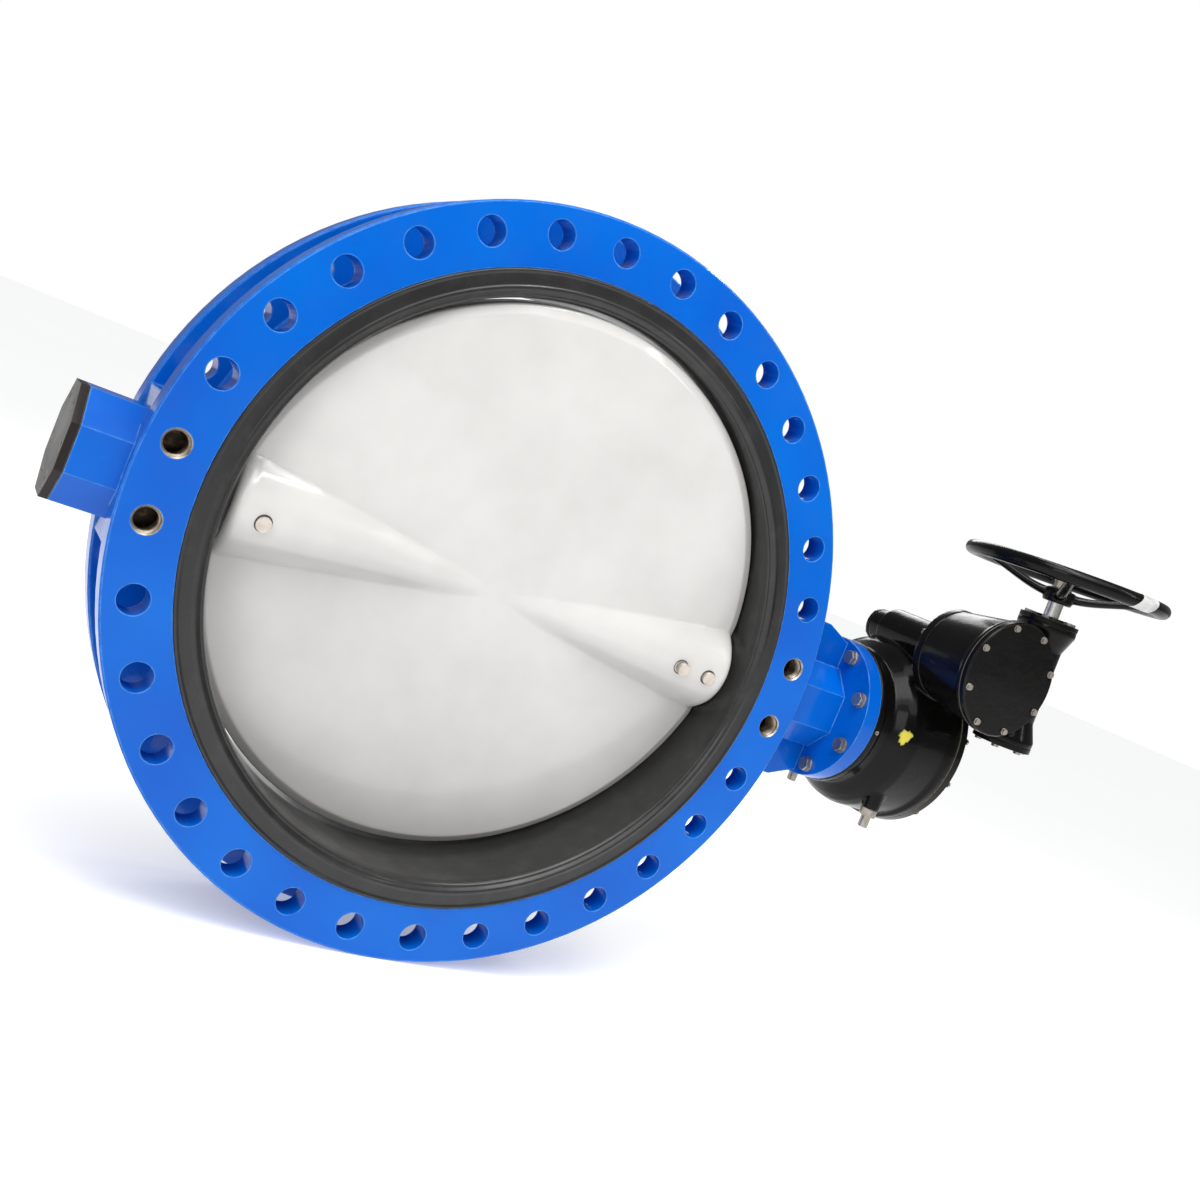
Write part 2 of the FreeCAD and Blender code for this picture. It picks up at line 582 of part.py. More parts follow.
def worm_shaft():
    """First-stage worm with the journals that also carry the second worm wheel."""
    module = SIZES["wheel_module"]
    core = turned("worm_core", [
        ("0", "-204"), ("12", "-204"), ("15", "-201"), ("15", "-173"), ("worm_shaft_r", "-172"),
        ("worm_shaft_r", "stem_y - worm_half - 12"), ("worm_pitch_r - 1.25 * wheel_module",
                                                      "stem_y - worm_half - 6"),
        ("worm_pitch_r - 1.25 * wheel_module", "stem_y + worm_half + 6"),
        ("worm_shaft_r", "stem_y + worm_half + 10"), ("worm_shaft_r", "tube_end_y - 3"),
        ("0", "tube_end_y - 3")], ("gear_x", "0", "worm_z"), FLOW)
    lead = math.pi * module
    pitch_r = module * SIZES["wheel_teeth"] / 2
    mesh_y = size("stem_y") - pitch_r * (math.radians(-WHEEL_TO_WORM) + 6 * PITCH_ANGLE)
    foot = Vector(size("gear_x"), mesh_y - 2 * lead, size("worm_z"))
    facing = Rotation(Vector(0, 0, -1), Vector(-1, 0, 0), Vector(0, 1, 0), "ZXY")
    coil = shape("worm_thread", thread(module, 1, SIZES["worm_pitch_r"], 4.5), Placement(foot, facing))
    slot = box("second_wheel_key", "10", "30", "10",
               ("gear_x - 5", "-second_y - 15", "worm_z + worm_shaft_r - 5"))
    keep("second_wheel_key", slot)
    keep("worm_shaft", cut("worm_shaft", fuse("worm_solid", core, coil), slot))


def second_wheel():
    module, teeth = SIZES["second_module"], SIZES["second_teeth"]
    angles = [(index + 0.5) * 2 * math.pi / teeth for index in range(teeth)]
    half = size("second_half")
    worm_r = SIZES["second_worm_r"]
    twist = half * module * SIZES["second_starts"] / 2 / (worm_r * module * teeth / 2)
    rim = twisted(toothed_face(module, teeth, angles, lambda at, arc, root_r: []), half, twist)
    hub = Part.makeCylinder(40, 2 * half + 12, Vector(0, 0, -half - 6))
    bore = Part.makeCylinder(size("worm_shaft_r"), 4 * half, Vector(0, 0, -2 * half))
    spaces = [Part.makeCylinder(12, 4 * half, Vector(68 * math.cos(angle), 68 * math.sin(angle), -2 * half))
              for angle in (index * math.pi / 3 for index in range(6))]
    solid = rim.fuse(hub).cut([bore] + spaces)
    centre = Vector(size("gear_x"), -size("second_y"), size("worm_z"))
    upright = Placement(centre, Rotation(Vector(0, 0, 1), Vector(0, 1, 0)))
    blank = shape("second_wheel_blank", solid, LEAN.multiply(upright))
    keep("second_worm_wheel", cut("second_worm_wheel", blank, MADE["second_wheel_key"]))
    seat = ("gear_x", "-second_y - 23", "worm_z")
    nut = prism("second_nut_hex", "46", "18", seat, VIEWER)
    hole = cylinder("second_nut_hole", "15", "18", seat, VIEWER)
    keep("second_wheel_nut", cut("second_wheel_nut", nut, hole))


def input_shaft():
    module, starts = SIZES["second_module"], SIZES["second_starts"]
    root = "second_worm_r - 1.25 * second_module"
    foot = ("input_x", "-second_y", "0")
    core = turned("input_core", [
        ("0", "input_low + 8"), ("input_journal_r", "input_low + 8"),
        ("input_journal_r", "worm_z - input_worm_half - 8"), (root, "worm_z - input_worm_half"),
        (root, "worm_z + input_worm_half"), ("input_shaft_r", "worm_z + input_worm_half + 8"),
        ("input_shaft_r", "wheel_hub_high"), ("12", "wheel_hub_high"), ("12", "shaft_end + 12"),
        ("0", "shaft_end + 12")], foot, UP)
    lead = math.pi * module * starts
    coils = []
    for index in range(starts):
        half_turn = Rotation(Vector(0, 0, 1), 180 + 180 * index)
        coils.append(shape("input_thread", thread(module, starts, SIZES["second_worm_r"], 2),
                           Placement(Vector(size("input_x"), -size("second_y"), size("worm_z") - lead),
                                     half_turn)))
    slot = box("wheel_key_block", "8", "8", "26", ("input_x - 4", "-second_y - input_shaft_r - 3",
                                                 "wheel_hub_low + 3"))
    keep_leaning("input_worm_shaft", cut("input_shaft_keyed", fuse("input_solid", core, *coils), slot))
    keep_leaning("handwheel_key", slot)
    return slot


# ---------------------------------------------------------------- first gearbox
CASING_BOLTS = even(12, 15)
JOINT_BOLTS = (25, 75, 125, 235, 285, 335)
STOP_SIDES = ("stem_y - stop_offset", "stem_y + stop_offset")


def gearbox_casing():
    drum = turned("casing_drum", [
        ("0", "-spigot_depth"), ("spigot_r", "-spigot_depth"), ("spigot_r", "0"), ("base_r - 2", "0"),
        ("base_r", "2"), ("base_r", "18"), ("casing_waist_r", "24"), ("casing_waist_r + 1", "50"),
        ("cavity_back_r + 6", "74"), ("drum_r - 6", "90"), ("drum_r", "108"),
        ("drum_r", "rim_start - casing_base"), ("rim_flange_r", "rim_start - casing_base + 8"),
        ("rim_flange_r", "rim_end - casing_base"), ("0", "rim_end - casing_base")],
        ("casing_base", "stem_y", "0"), STEM)
    worm_tube = turned("casing_worm_tube", [
        ("0", "0"), ("joint_r - 2", "0"), ("joint_r", "2"), ("joint_r", "joint_flange - 2"),
        ("joint_r - 2", "joint_flange"), ("worm_tube_r + 10", "joint_flange"),
        ("worm_tube_r", "joint_flange + 14"), ("worm_tube_r", "stem_y + joint_y + 48"),
        ("worm_journal_r + 12", "stem_y + joint_y + 60"), ("worm_journal_r + 12", "tube_end_y + joint_y"),
        ("0", "tube_end_y + joint_y")], ("gear_x", "-joint_y", "worm_z"), FLOW)
    bosses = [cylinder("stop_boss", "stop_boss_r", "stop_boss_z - 90", ("stop_x", side, "-90"), DOWN)
              for side in STOP_SIDES]
    solid = fuse("casing_solid", drum, worm_tube, *bosses)

    mouth = cylinder("casing_mouth", "cavity_r", "rim_end - cavity_x", ("cavity_x", "stem_y", "0"), STEM)
    back = cylinder("casing_back", "cavity_back_r", "cavity_x - cavity_back_x",
                    ("cavity_back_x", "stem_y", "0"), STEM)
    stem_hole = cylinder("casing_stem_hole", "60", "cavity_back_x - casing_base + spigot_depth",
                         ("casing_base - spigot_depth", "stem_y", "0"), STEM)
    worm_hole = cylinder("casing_worm_hole", "worm_space_r", "stem_y + joint_y + 60",
                         ("gear_x", "-joint_y", "worm_z"), FLOW)
    end_hole = cylinder("casing_end_hole", "worm_journal_r", "tube_end_y + joint_y",
                        ("gear_x", "-joint_y", "worm_z"), FLOW)
    stop_holes = [cylinder("stop_hole", "stop_r + running_gap", "stop_tip_z", ("stop_x", side, "0"), DOWN)
                  for side in STOP_SIDES]
    base_taps = copies("base_taps", cylinder("base_tap", "10 + running_gap", "28", ORIGIN),
                       around(("casing_base", "stem_y", "0"), STEM, "top_bolt_r", TOP_BOLTS))
    rim_taps = copies("rim_taps", cylinder("rim_tap", "4 + running_gap", "20", ORIGIN),
                      around(("rim_end - 20", "stem_y", "0"), STEM, "cavity_r + 8", CASING_BOLTS))
    joint_holes = copies("joint_holes", cylinder("joint_drill", "6.5", "joint_flange", ORIGIN),
                         around(("gear_x", "-joint_y", "worm_z"), FLOW, "joint_bolt_r", JOINT_BOLTS))
    cap_taps = copies("end_cap_taps", cylinder("cap_tap", "3 + running_gap", "11", ORIGIN),
                      around(("gear_x", "tube_end_y - 11", "worm_z"), FLOW, "36", even(4, 45)))
    keep("gearbox_casing", cut("gearbox_casing", solid, mouth, back, stem_hole, worm_hole, end_hole,
                               *stop_holes, base_taps, rim_taps, joint_holes, cap_taps))


def gearbox_fittings():
    keep("casing_stem_bush", tube("casing_stem_bush", "drive_r + running_gap", "60", "66",
                                  ("casing_base + 24", "stem_y", "0"), STEM))
    bolt = hex_screw("top_bolt", "10", "64", "30", "12.5", "3")
    keep("top_flange_bolts", copies("top_flange_bolts", bolt, around(
        ("neck_end", "stem_y", "0"), LOWER, "top_bolt_r", TOP_BOLTS)))
    rim_face = ("rim_end", "stem_y", "0")
    drill = copies("cover_drills", cylinder("lid_drill", "4.5", "paper + casing_cover", ORIGIN),
                   around(rim_face, STEM, "cavity_r + 8", CASING_BOLTS))
    ring = tube("gasket_ring", "cavity_r", "rim_flange_r", "paper", rim_face, STEM)
    keep("gearbox_gasket", cut("gearbox_gasket", ring, drill))
    lid = turned("cover_lid", [
        ("0", "0"), ("rim_flange_r", "0"), ("rim_flange_r", "casing_cover - 4"),
        ("rim_flange_r - 4", "casing_cover"), ("62", "casing_cover"), ("58", "casing_cover + 8"),
        ("0", "casing_cover + 8")], ("rim_end + paper", "stem_y", "0"), STEM)
    relief = cylinder("lid_relief", "cavity_r - 12", "8", ("rim_end + paper", "stem_y", "0"), STEM)
    spindle_hole = cylinder("lid_bore", "12 + running_gap", "casing_cover + 8",
                            ("rim_end + paper", "stem_y", "0"), STEM)
    keep("gearbox_cover", cut("gearbox_cover", lid, relief, spindle_hole, drill))
    screw = hex_screw("lid_screw", "4", "42", "13", "5.3", "1.6")
    keep("gearbox_cover_screws", copies("gearbox_cover_screws", screw, around(
        ("rim_end + paper + casing_cover", "stem_y", "0"), STEM, "cavity_r + 8", CASING_BOLTS)))
    screws, nuts = [], []
    for side in STOP_SIDES:
        shank = cylinder("stop_shank", "stop_r", "stop_tip_z - stop_dome_z",
                         ("stop_x", side, "-stop_dome_z"), DOWN)
        dome = put(bind(doc.addObject("Part::Sphere", "stop_dome"), Radius="stop_r"),
                   ("stop_x", side, "-stop_dome_z"), UP)
        screws.append(fuse("stop_screw", shank, dome))
        seat = ("stop_x", side, "-stop_boss_z")
        nuts.append(cut("stop_nut", prism("stop_nut_hex", "36", "stop_nut", seat, DOWN),
                        cylinder("stop_nut_hole", "stop_r", "stop_nut", seat, DOWN)))
    keep("stop_screws", group("stop_screws", screws))
    keep("stop_screw_nuts", group("stop_screw_nuts", nuts))
    gap_r = "worm_shaft_r + running_gap"
    keep("worm_front_bearing", tube("worm_front_bearing", gap_r, "worm_space_r", "36",
                                    ("gear_x", "-joint_y + 15", "worm_z"), FLOW))
    keep("worm_rear_bearing", tube("worm_rear_bearing", gap_r, "worm_journal_r", "12",
                                   ("gear_x", "tube_end_y - 13", "worm_z"), FLOW))
    tube_end = ("gear_x", "tube_end_y", "worm_z")
    cap = cylinder("end_cap_disc", "worm_journal_r + 12", "8", tube_end, FLOW)
    cap_holes = copies("end_cap_holes", cylinder("end_cap_drill", "3.4", "8", ORIGIN),
                       around(tube_end, FLOW, "36", even(4, 45)))
    keep("worm_end_cap", cut("worm_end_cap", cap, cap_holes))
    cap_screw = hex_screw("end_cap_screw", "3", "17", "10", "4")
    keep("worm_end_cap_screws", copies("worm_end_cap_screws", cap_screw, around(
        ("gear_x", "tube_end_y + 8", "worm_z"), FLOW, "36", even(4, 45))))


def position_indicator():
    """Spindle and pointer that turn with the stem on top of the first gearbox."""
    start = ("gear_x + hub_half + 10", "stem_y", "0")
    top = "rim_end + paper + casing_cover + 8"
    spindle = cylinder("indicator_spindle", "12", top + " - gear_x - hub_half - 6", start, STEM)
    keep("indicator_spindle", spindle)
    arrow = slab("pointer_arrow", "YZ_Plane", [
        ("-14", "-22"), ("14", "-22"), ("14", "30"), ("0", "54"), ("-14", "30")], "4", top)
    put(arrow, STEM_FOOT, UP)
    arrow.Placement = Placement(Vector(0, size("stem_y"), 0), Rotation(Vector(1, 0, 0), SIZES["rest_angle"]))
    keep("position_pointer", cut("position_pointer", arrow, spindle))


# ---------------------------------------------------------------- second gearbox and handwheel
LID_BOLTS = even(8, 22.5 - SIZES["lean_angle"])


def reducer_casing():
    middle = ("gear_x", "-joint_y", "worm_z")
    drum = turned("reducer_drum", [
        ("0", "0"), ("joint_r - 2", "0"), ("joint_r", "2"), ("joint_r", "8"),
        ("second_r", "second_front - joint_y"), ("second_rim_r", "second_front - joint_y + 2"),
        ("second_rim_r", "second_front - joint_y + second_rim"),
        ("0", "second_front - joint_y + second_rim")], middle, VIEWER)
    neck = turned("reducer_input_tube", [
        ("0", "input_low"), ("input_flange_r", "input_low"), ("input_flange_r", "input_low + input_flange"),
        ("input_tube_r", "input_low + input_flange + 42"), ("input_tube_r", "input_high - input_flange - 42"),
        ("input_flange_r", "input_high - input_flange"), ("input_flange_r", "input_high"),
        ("0", "input_high")], ("input_x", "-second_y", "0"), UP)
    cavity = turned("reducer_cavity", [
        ("0", "27"), ("100", "27"), ("112", "75"), ("116", "second_front - joint_y + second_rim"),
        ("0", "second_front - joint_y + second_rim")], middle, VIEWER)
    space = cylinder("reducer_input_space", "input_space_r", "input_high - input_low",
                     ("input_x", "-second_y", "input_low"), UP)
    shaft_hole = cylinder("reducer_shaft_hole", "worm_journal_r", "27", middle, VIEWER)
    taps = copies("reducer_taps", cylinder("reducer_tap", "6 + running_gap", "18", ORIGIN),
                  around(middle, VIEWER, "joint_bolt_r",
                         [-angle - SIZES["lean_angle"] for angle in JOINT_BOLTS]))
    lid_taps = copies("reducer_lid_taps", cylinder("lid_tap", "4 + running_gap", "20", ORIGIN),
                      around(("gear_x", "20 - second_front - second_rim", "worm_z"), VIEWER,
                             "second_bolt_r", LID_BOLTS))
    cap_tap = cylinder("input_tap", "5 + running_gap", "14", ORIGIN)
    cap_taps = [copies("input_taps", cap_tap, around(("input_x", "-second_y", level), UP, "54", even(6, 30)))
                for level in ("input_low", "input_high - 14")]
    keep_leaning("reducer_casing", cut("reducer_bored", fuse("reducer_solid", drum, neck), cavity, space,
                                       shaft_hole, taps, lid_taps, *cap_taps))


def reducer_fittings():
    face = ("gear_x", "-second_front - second_rim", "worm_z")
    drill = copies("reducer_drills", cylinder("reducer_drill", "4.5", "paper + second_cover", ORIGIN),
                   around(face, VIEWER, "second_bolt_r", LID_BOLTS))
    ring = tube("reducer_gasket_ring", "116", "second_rim_r", "paper", face, VIEWER)
    keep_leaning("reducer_gasket", cut("reducer_gasket_drilled", ring, drill))
    lid = turned("reducer_lid", [
        ("0", "paper"), ("second_rim_r", "paper"), ("second_rim_r", "paper + second_cover - 3"),
        ("second_rim_r - 3", "paper + second_cover"), ("0", "paper + second_cover")], face, VIEWER)
    keep_leaning("reducer_cover", cut("reducer_cover_drilled", lid, drill))
    lid_screw = hex_screw("reducer_screw", "4", "34", "13", "5.3", "1.6")
    lid_face = ("gear_x", "-second_front - second_rim - paper - second_cover", "worm_z")
    keep_leaning("reducer_cover_screws", copies("reducer_screw_ring", lid_screw, around(
        lid_face, VIEWER, "second_bolt_r", LID_BOLTS)))
    joint_bolt = hex_screw("joint_bolt", "6", "42", "18", "7.5")
    keep("reducer_joint_bolts", copies("reducer_joint_bolts", joint_bolt, around(
        ("gear_x", "joint_flange - joint_y", "worm_z"), FLOW, "joint_bolt_r", JOINT_BOLTS)))
    keep("reducer_shaft_bush", tube("reducer_shaft_bush", "worm_shaft_r + running_gap", "worm_journal_r",
                                    "25", ("gear_x", "-joint_y - 1", "worm_z"), VIEWER))
    axis = ("input_x", "-second_y")
    keep_leaning("input_lower_bush", tube("lower_bush_ring", "input_journal_r + running_gap",
                                          "input_space_r", "30", axis + ("input_low + 12",)))
    keep_leaning("input_upper_bush", tube("upper_bush_ring", "input_shaft_r + running_gap",
                                          "input_space_r", "30", axis + ("input_high - 42",)))
    drills = {}
    for level in ("input_low - input_cap", "input_high"):
        drills[level] = copies("input_cap_holes", cylinder("cap_drill", "5.5", "input_cap", ORIGIN),
                               around(axis + (level,), UP, "54", even(6, 30)))
    low = cylinder("input_low_plate", "input_flange_r", "input_cap", axis + ("input_low - input_cap",))
    keep_leaning("input_lower_cap", cut("input_low_drilled", low, drills["input_low - input_cap"]))
    high = turned("input_high_plate", [
        ("27", "0"), ("input_flange_r", "0"), ("input_flange_r", "input_cap"), ("36", "input_cap"),
        ("34", "input_cap + 6"), ("27", "input_cap + 6")], axis + ("input_high",))
    keep_leaning("input_upper_cap", cut("input_high_drilled", high, drills["input_high"]))
    keep_leaning("input_oil_seal", tube("seal_ring", "input_shaft_r + running_gap", "27", "12",
                                        axis + ("input_high + 3",)))
    screw = hex_screw("input_cap_screw", "5", "24", "16", "6.4")
    places = list(around(axis + ("input_high + input_cap",), UP, "54", even(6, 30)))
    places += around(axis + ("input_low - input_cap",), DOWN, "54", even(6, 30))
    keep_leaning("input_cap_screws", copies("input_screw_rings", screw, places))


def handwheel(key):
    hub_foot = ("input_x", "-second_y", "wheel_hub_low")
    hub = turned("wheel_hub_body", [
        ("0", "0"), ("wheel_hub - 4", "0"), ("wheel_hub", "4"),
        ("wheel_hub", "wheel_hub_high - wheel_hub_low - 4"),
        ("wheel_hub - 6", "wheel_hub_high - wheel_hub_low"),
        ("0", "wheel_hub_high - wheel_hub_low")], hub_foot)
    middle = ("input_x", "-second_y", "rim_z")
    rim = ring_tube("wheel_rim", "rim_mid_r", "rim_tube_r", middle)
    rise, run = size("rim_z - wheel_hub_low - 20"), size("rim_mid_r - 20")
    spokes = []
    for angle in even(SIZES["spoke_count"], 45):
        way = Rotation(Vector(0, 0, 1), angle).multVec(Vector(run, 0, rise))
        foot = Vector(*[size(value) for value in hub_foot]) + Vector(0, 0, 20)
        foot += Rotation(Vector(0, 0, 1), angle).multVec(Vector(20, 0, 0))
        spoke = bind(doc.addObject("Part::Cylinder", "wheel_spoke"), Radius="spoke_r")
        spoke.Height = way.Length
        spoke.Placement = Placement(foot, Rotation(Vector(0, 0, 1), way))
        spokes.append(spoke)
    bore = cylinder("wheel_bore", "input_shaft_r", "wheel_hub_high - wheel_hub_low", hub_foot)
    solid = fuse("handwheel_solid", hub, rim, *spokes)
    keep_leaning("handwheel", cut("handwheel_keyed", solid, bore, key))
    top = ("input_x", "-second_y", "wheel_hub_high")
    nut = fuse("wheel_nut_solid", prism("wheel_nut_hex", "36", "20", top),
               cylinder("wheel_washer", "24", "3", top))
    keep_leaning("handwheel_nut", cut("wheel_nut_bored", nut, cylinder("wheel_nut_hole", "12", "20", top)))
    sleeve = doc.addObject("Part::Torus", "tape_sleeve")
    bind(sleeve, Radius1="rim_mid_r", Radius2="rim_tube_r + 0.6")
    sleeve.Angle3 = math.degrees(size("tape_depth / rim_mid_r"))
    put(sleeve, middle, UP, -SIZES["tape_angle"])
    keep_leaning("rim_tape", cut("tape_band", sleeve, rim))


valve_body()
seat_liner()
body_bearings()
lower_cover()
disc()
stems(MADE["disc_pins"])
worm_wheel()
worm_shaft()
second_wheel()
gearbox_casing()
gearbox_fittings()
position_indicator()
reducer_casing()
reducer_fittings()
handwheel(input_shaft())
doc.recompute()

problems = [item.Name for item in doc.Objects if "Invalid" in item.State or "Error" in item.State]
for node, thing in MADE.items():
    if thing.Shape.isNull() or not thing.Shape.isValid() or not thing.Shape.Solids:
        problems.append(node)
if problems:
    raise RuntimeError("failed objects: " + ", ".join(problems))
os.makedirs("parts", exist_ok=True)
for node, thing in MADE.items():
    thing.Shape.exportStep("parts/" + node + ".step")
    print("%-26s %2d solids %12.0f mm3" % (node, len(thing.Shape.Solids), thing.Shape.Volume))
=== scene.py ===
"""Looks of a large double-flanged butterfly valve with a two-stage worm gearbox.

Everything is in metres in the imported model's frame: the origin is the centre of
the front flange face, +X runs along the stems, +Y along the pipe and +Z is up.
"""
import json
import math
import bmesh
import bpy
from mathutils import Matrix, Vector


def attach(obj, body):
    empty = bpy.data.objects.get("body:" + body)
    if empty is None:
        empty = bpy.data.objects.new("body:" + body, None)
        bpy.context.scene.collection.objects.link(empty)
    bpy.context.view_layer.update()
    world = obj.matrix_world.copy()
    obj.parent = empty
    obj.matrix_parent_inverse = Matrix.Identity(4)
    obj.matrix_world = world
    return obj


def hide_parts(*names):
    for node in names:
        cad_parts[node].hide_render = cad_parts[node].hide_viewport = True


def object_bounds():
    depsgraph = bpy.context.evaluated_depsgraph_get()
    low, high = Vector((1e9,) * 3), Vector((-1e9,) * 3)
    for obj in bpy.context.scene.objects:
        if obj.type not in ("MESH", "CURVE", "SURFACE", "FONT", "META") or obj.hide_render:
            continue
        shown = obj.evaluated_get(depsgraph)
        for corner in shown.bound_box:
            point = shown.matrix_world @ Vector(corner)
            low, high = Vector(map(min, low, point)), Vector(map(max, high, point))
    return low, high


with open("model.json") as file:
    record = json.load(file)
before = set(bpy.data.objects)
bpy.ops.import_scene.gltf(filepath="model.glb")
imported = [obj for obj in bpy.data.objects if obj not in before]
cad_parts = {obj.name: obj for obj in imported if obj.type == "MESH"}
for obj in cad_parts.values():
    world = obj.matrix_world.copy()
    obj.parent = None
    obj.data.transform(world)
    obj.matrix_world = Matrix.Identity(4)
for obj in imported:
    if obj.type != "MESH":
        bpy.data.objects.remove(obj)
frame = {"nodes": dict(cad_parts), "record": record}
cad_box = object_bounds()
NODES = frame["nodes"]
TAU = 2 * math.pi
MM = 0.001


# ---------------------------------------------------------------- driving sizes, in metres
FACE_TO_FACE, FLANGE_R = 0.254, 0.765
STEM_Y = FACE_TO_FACE / 2
BOLT_R, TAP_R = 0.710, 0.0233
BORE_R, LINER_SEAT_R, LIP_R = 0.590, 0.612, 0.645
PAD_R, PAD_FACE, PAD_SLOPE = 0.100, 0.576, 0.006
REST = math.radians(9)
GEAR_X, WORM_Z, INPUT_X, SECOND_Y = 1.103, 0.234, 1.240, -0.150
RIM_Z, RIM_MID_R, RIM_TUBE_R, RIM_HUB_R = 0.495, 0.221, 0.017, 0.034
HUB_LOW, HUB_HIGH = 0.434, 0.468
LEAN_ANGLE = math.radians(3)
WORM_AXIS = Matrix.Translation((GEAR_X, 0, WORM_Z))
LEAN = WORM_AXIS @ Matrix.Rotation(-LEAN_ANGLE, 4, "Y") @ WORM_AXIS.inverted()
TAPPED = [math.radians(angle) for angle in (5.625, -5.625, 174.375, 185.625)]


# ---------------------------------------------------------------- materials
class Shader:
    """A node tree with short calls for the nodes that the materials share."""

    def __init__(self, name):
        self.material = bpy.data.materials.new(name)
        self.material.use_nodes = True
        self.tree = self.material.node_tree
        self.tree.nodes.clear()
        self.place = self.node("TexCoord").outputs["Object"]
        self.facing = self.node("NewGeometry").outputs["Normal"]

    def node(self, kind, inputs=None, **settings):
        made = self.tree.nodes.new("ShaderNode" + kind)
        for name, value in settings.items():
            setattr(made, name, value)
        for name, value in (inputs or {}).items():
            if isinstance(value, bpy.types.NodeSocket):
                self.tree.links.new(value, made.inputs[name])
            else:
                made.inputs[name].default_value = value
        return made

    def noise(self, scale, detail=3.0, stretch=(1, 1, 1)):
        place = self.node("Mapping", {"Vector": self.place, "Scale": stretch}).outputs[0]
        inputs = {"Vector": place, "Scale": scale, "Detail": detail, "Roughness": 0.55}
        return self.node("TexNoise", inputs).outputs["Fac"]

    def spread(self, value, low, high, to_low=0.0, to_high=1.0):
        inputs = {"Value": value, "From Min": low, "From Max": high, "To Min": to_low, "To Max": to_high}
        return self.node("MapRange", inputs).outputs["Result"]

    def maths(self, operation, first, second=0.0):
        made = self.node("Math", operation=operation)
        for socket, value in zip(made.inputs, (first, second)):
            if isinstance(value, bpy.types.NodeSocket):
                self.tree.links.new(value, socket)
            else:
                socket.default_value = value
        return made.outputs[0]

    def mix(self, share, first, second):
        made = self.node("Mix", data_type="RGBA")
        for socket, value in ((made.inputs[0], share), (made.inputs[6], first), (made.inputs[7], second)):
            if isinstance(value, bpy.types.NodeSocket):
                self.tree.links.new(value, socket)
            else:
                socket.default_value = value if socket.type == "VALUE" else (*value, 1.0)
        return made.outputs[2]

    def rounded(self, radius):
        return self.node("Bevel", {"Radius": radius}, samples=4).outputs[0]

    def edges(self, rounded):
        """1 on corners and 0 on flats, from how far the rounded normal leans."""
        lean = self.node("VectorMath", operation="DOT_PRODUCT")
        self.tree.links.new(rounded, lean.inputs[0])
        self.tree.links.new(self.facing, lean.inputs[1])
        return self.spread(lean.outputs["Value"], 0.995, 0.88)

    def bumps(self, heights, normal):
        """Chain of bumps: pairs of (height signal, depth in metres)."""
        for signal, depth in heights:
            inputs = {"Height": signal, "Distance": depth, "Strength": 1.0, "Normal": normal}
            normal = self.node("Bump", inputs).outputs[0]
        return normal

    def finish(self, **inputs):
        named = {name.replace("_", " "): value for name, value in inputs.items()}
        surface = self.node("BsdfPrincipled", named)
        self.node("OutputMaterial", {"Surface": surface.outputs[0]})
        return self.material


def srgb(red, green, blue):
    """Linear colour of an 8-bit screen colour."""
    return tuple(c / 12.92 if c <= 0.04045 else ((c + 0.055) / 1.055) ** 2.4
                 for c in (red / 255, green / 255, blue / 255))


def coating(name, colour, shade, wear_dust_and_highlight, rough, lumps, peel, rub_and_highlight=0.5, dust=0.15, round_edge=2.5 * MM,
            shine=0.3):
    """Paint on a casting: lumps of the casting, orange peel, dust, and lighter edges that are partly rubbed
    paint and partly a painted highlight.
    """
    look = Shader(name)
    rounded = look.rounded(round_edge)
    cloud = look.noise(3.5, 4)
    patch = look.noise(14, 5)
    grit = look.noise(260, 2)
    base = look.mix(look.spread(cloud, 0.35, 0.7), colour, shade)
    settled = look.maths("MULTIPLY", look.spread(patch, 0.45, 0.75), dust)
    base = look.mix(settled, base, wear_dust_and_highlight)
    uneven = look.spread(look.noise(45, 4), 0.36, 0.6, 0.35 * rub_and_highlight, rub_and_highlight)
    # Lighter colour along the edges: partly rubbed paint, partly a painted highlight on every corner.
    rubbed_and_highlit_edges = look.maths("MULTIPLY", look.edges(rounded), uneven)
    base = look.mix(rubbed_and_highlit_edges, base, wear_dust_and_highlight)
    speck = look.spread(look.noise(190, 4), 0.74, 0.765, 0, 0.6)
    base = look.mix(speck, base, wear_dust_and_highlight)
    gloss = look.spread(look.noise(9, 5), 0.3, 0.75, rough[0], rough[1])
    gloss = look.maths("ADD", gloss, look.maths("MULTIPLY", rubbed_and_highlit_edges, 0.15))
    heights = [(look.noise(28, 3), lumps), (look.noise(150, 2), peel), (grit, peel * 0.25)]
    return look.finish(Base_Color=base, Roughness=gloss, Normal=look.bumps(heights, rounded),
                       Coat_Weight=shine, Coat_Roughness=0.06, Specular_IOR_Level=shine)


def rubber(name, colour, shade):
    look = Shader(name)
    rounded = look.rounded(1.5 * MM)
    base = look.mix(look.spread(look.noise(5, 5), 0.35, 0.7), colour, shade)
    chalk = look.spread(look.noise(24, 6), 0.5, 0.8, 0, 0.12)
    base = look.mix(chalk, base, srgb(96, 95, 92))
    scuff = look.maths("MULTIPLY", look.edges(rounded), look.spread(look.noise(60, 3), 0.42, 0.65, 0, 0.55))
    base = look.mix(scuff, base, srgb(128, 127, 124))
    normal = look.bumps([(look.noise(420, 2), 0.05 * MM), (look.noise(32, 3), 0.35 * MM)], rounded)
    gloss = look.spread(look.noise(11, 5), 0.3, 0.7, 0.32, 0.5)
    return look.finish(Base_Color=base, Roughness=gloss, Normal=normal, Specular_IOR_Level=0.35,
                       Coat_Weight=0.35, Coat_Roughness=0.12)


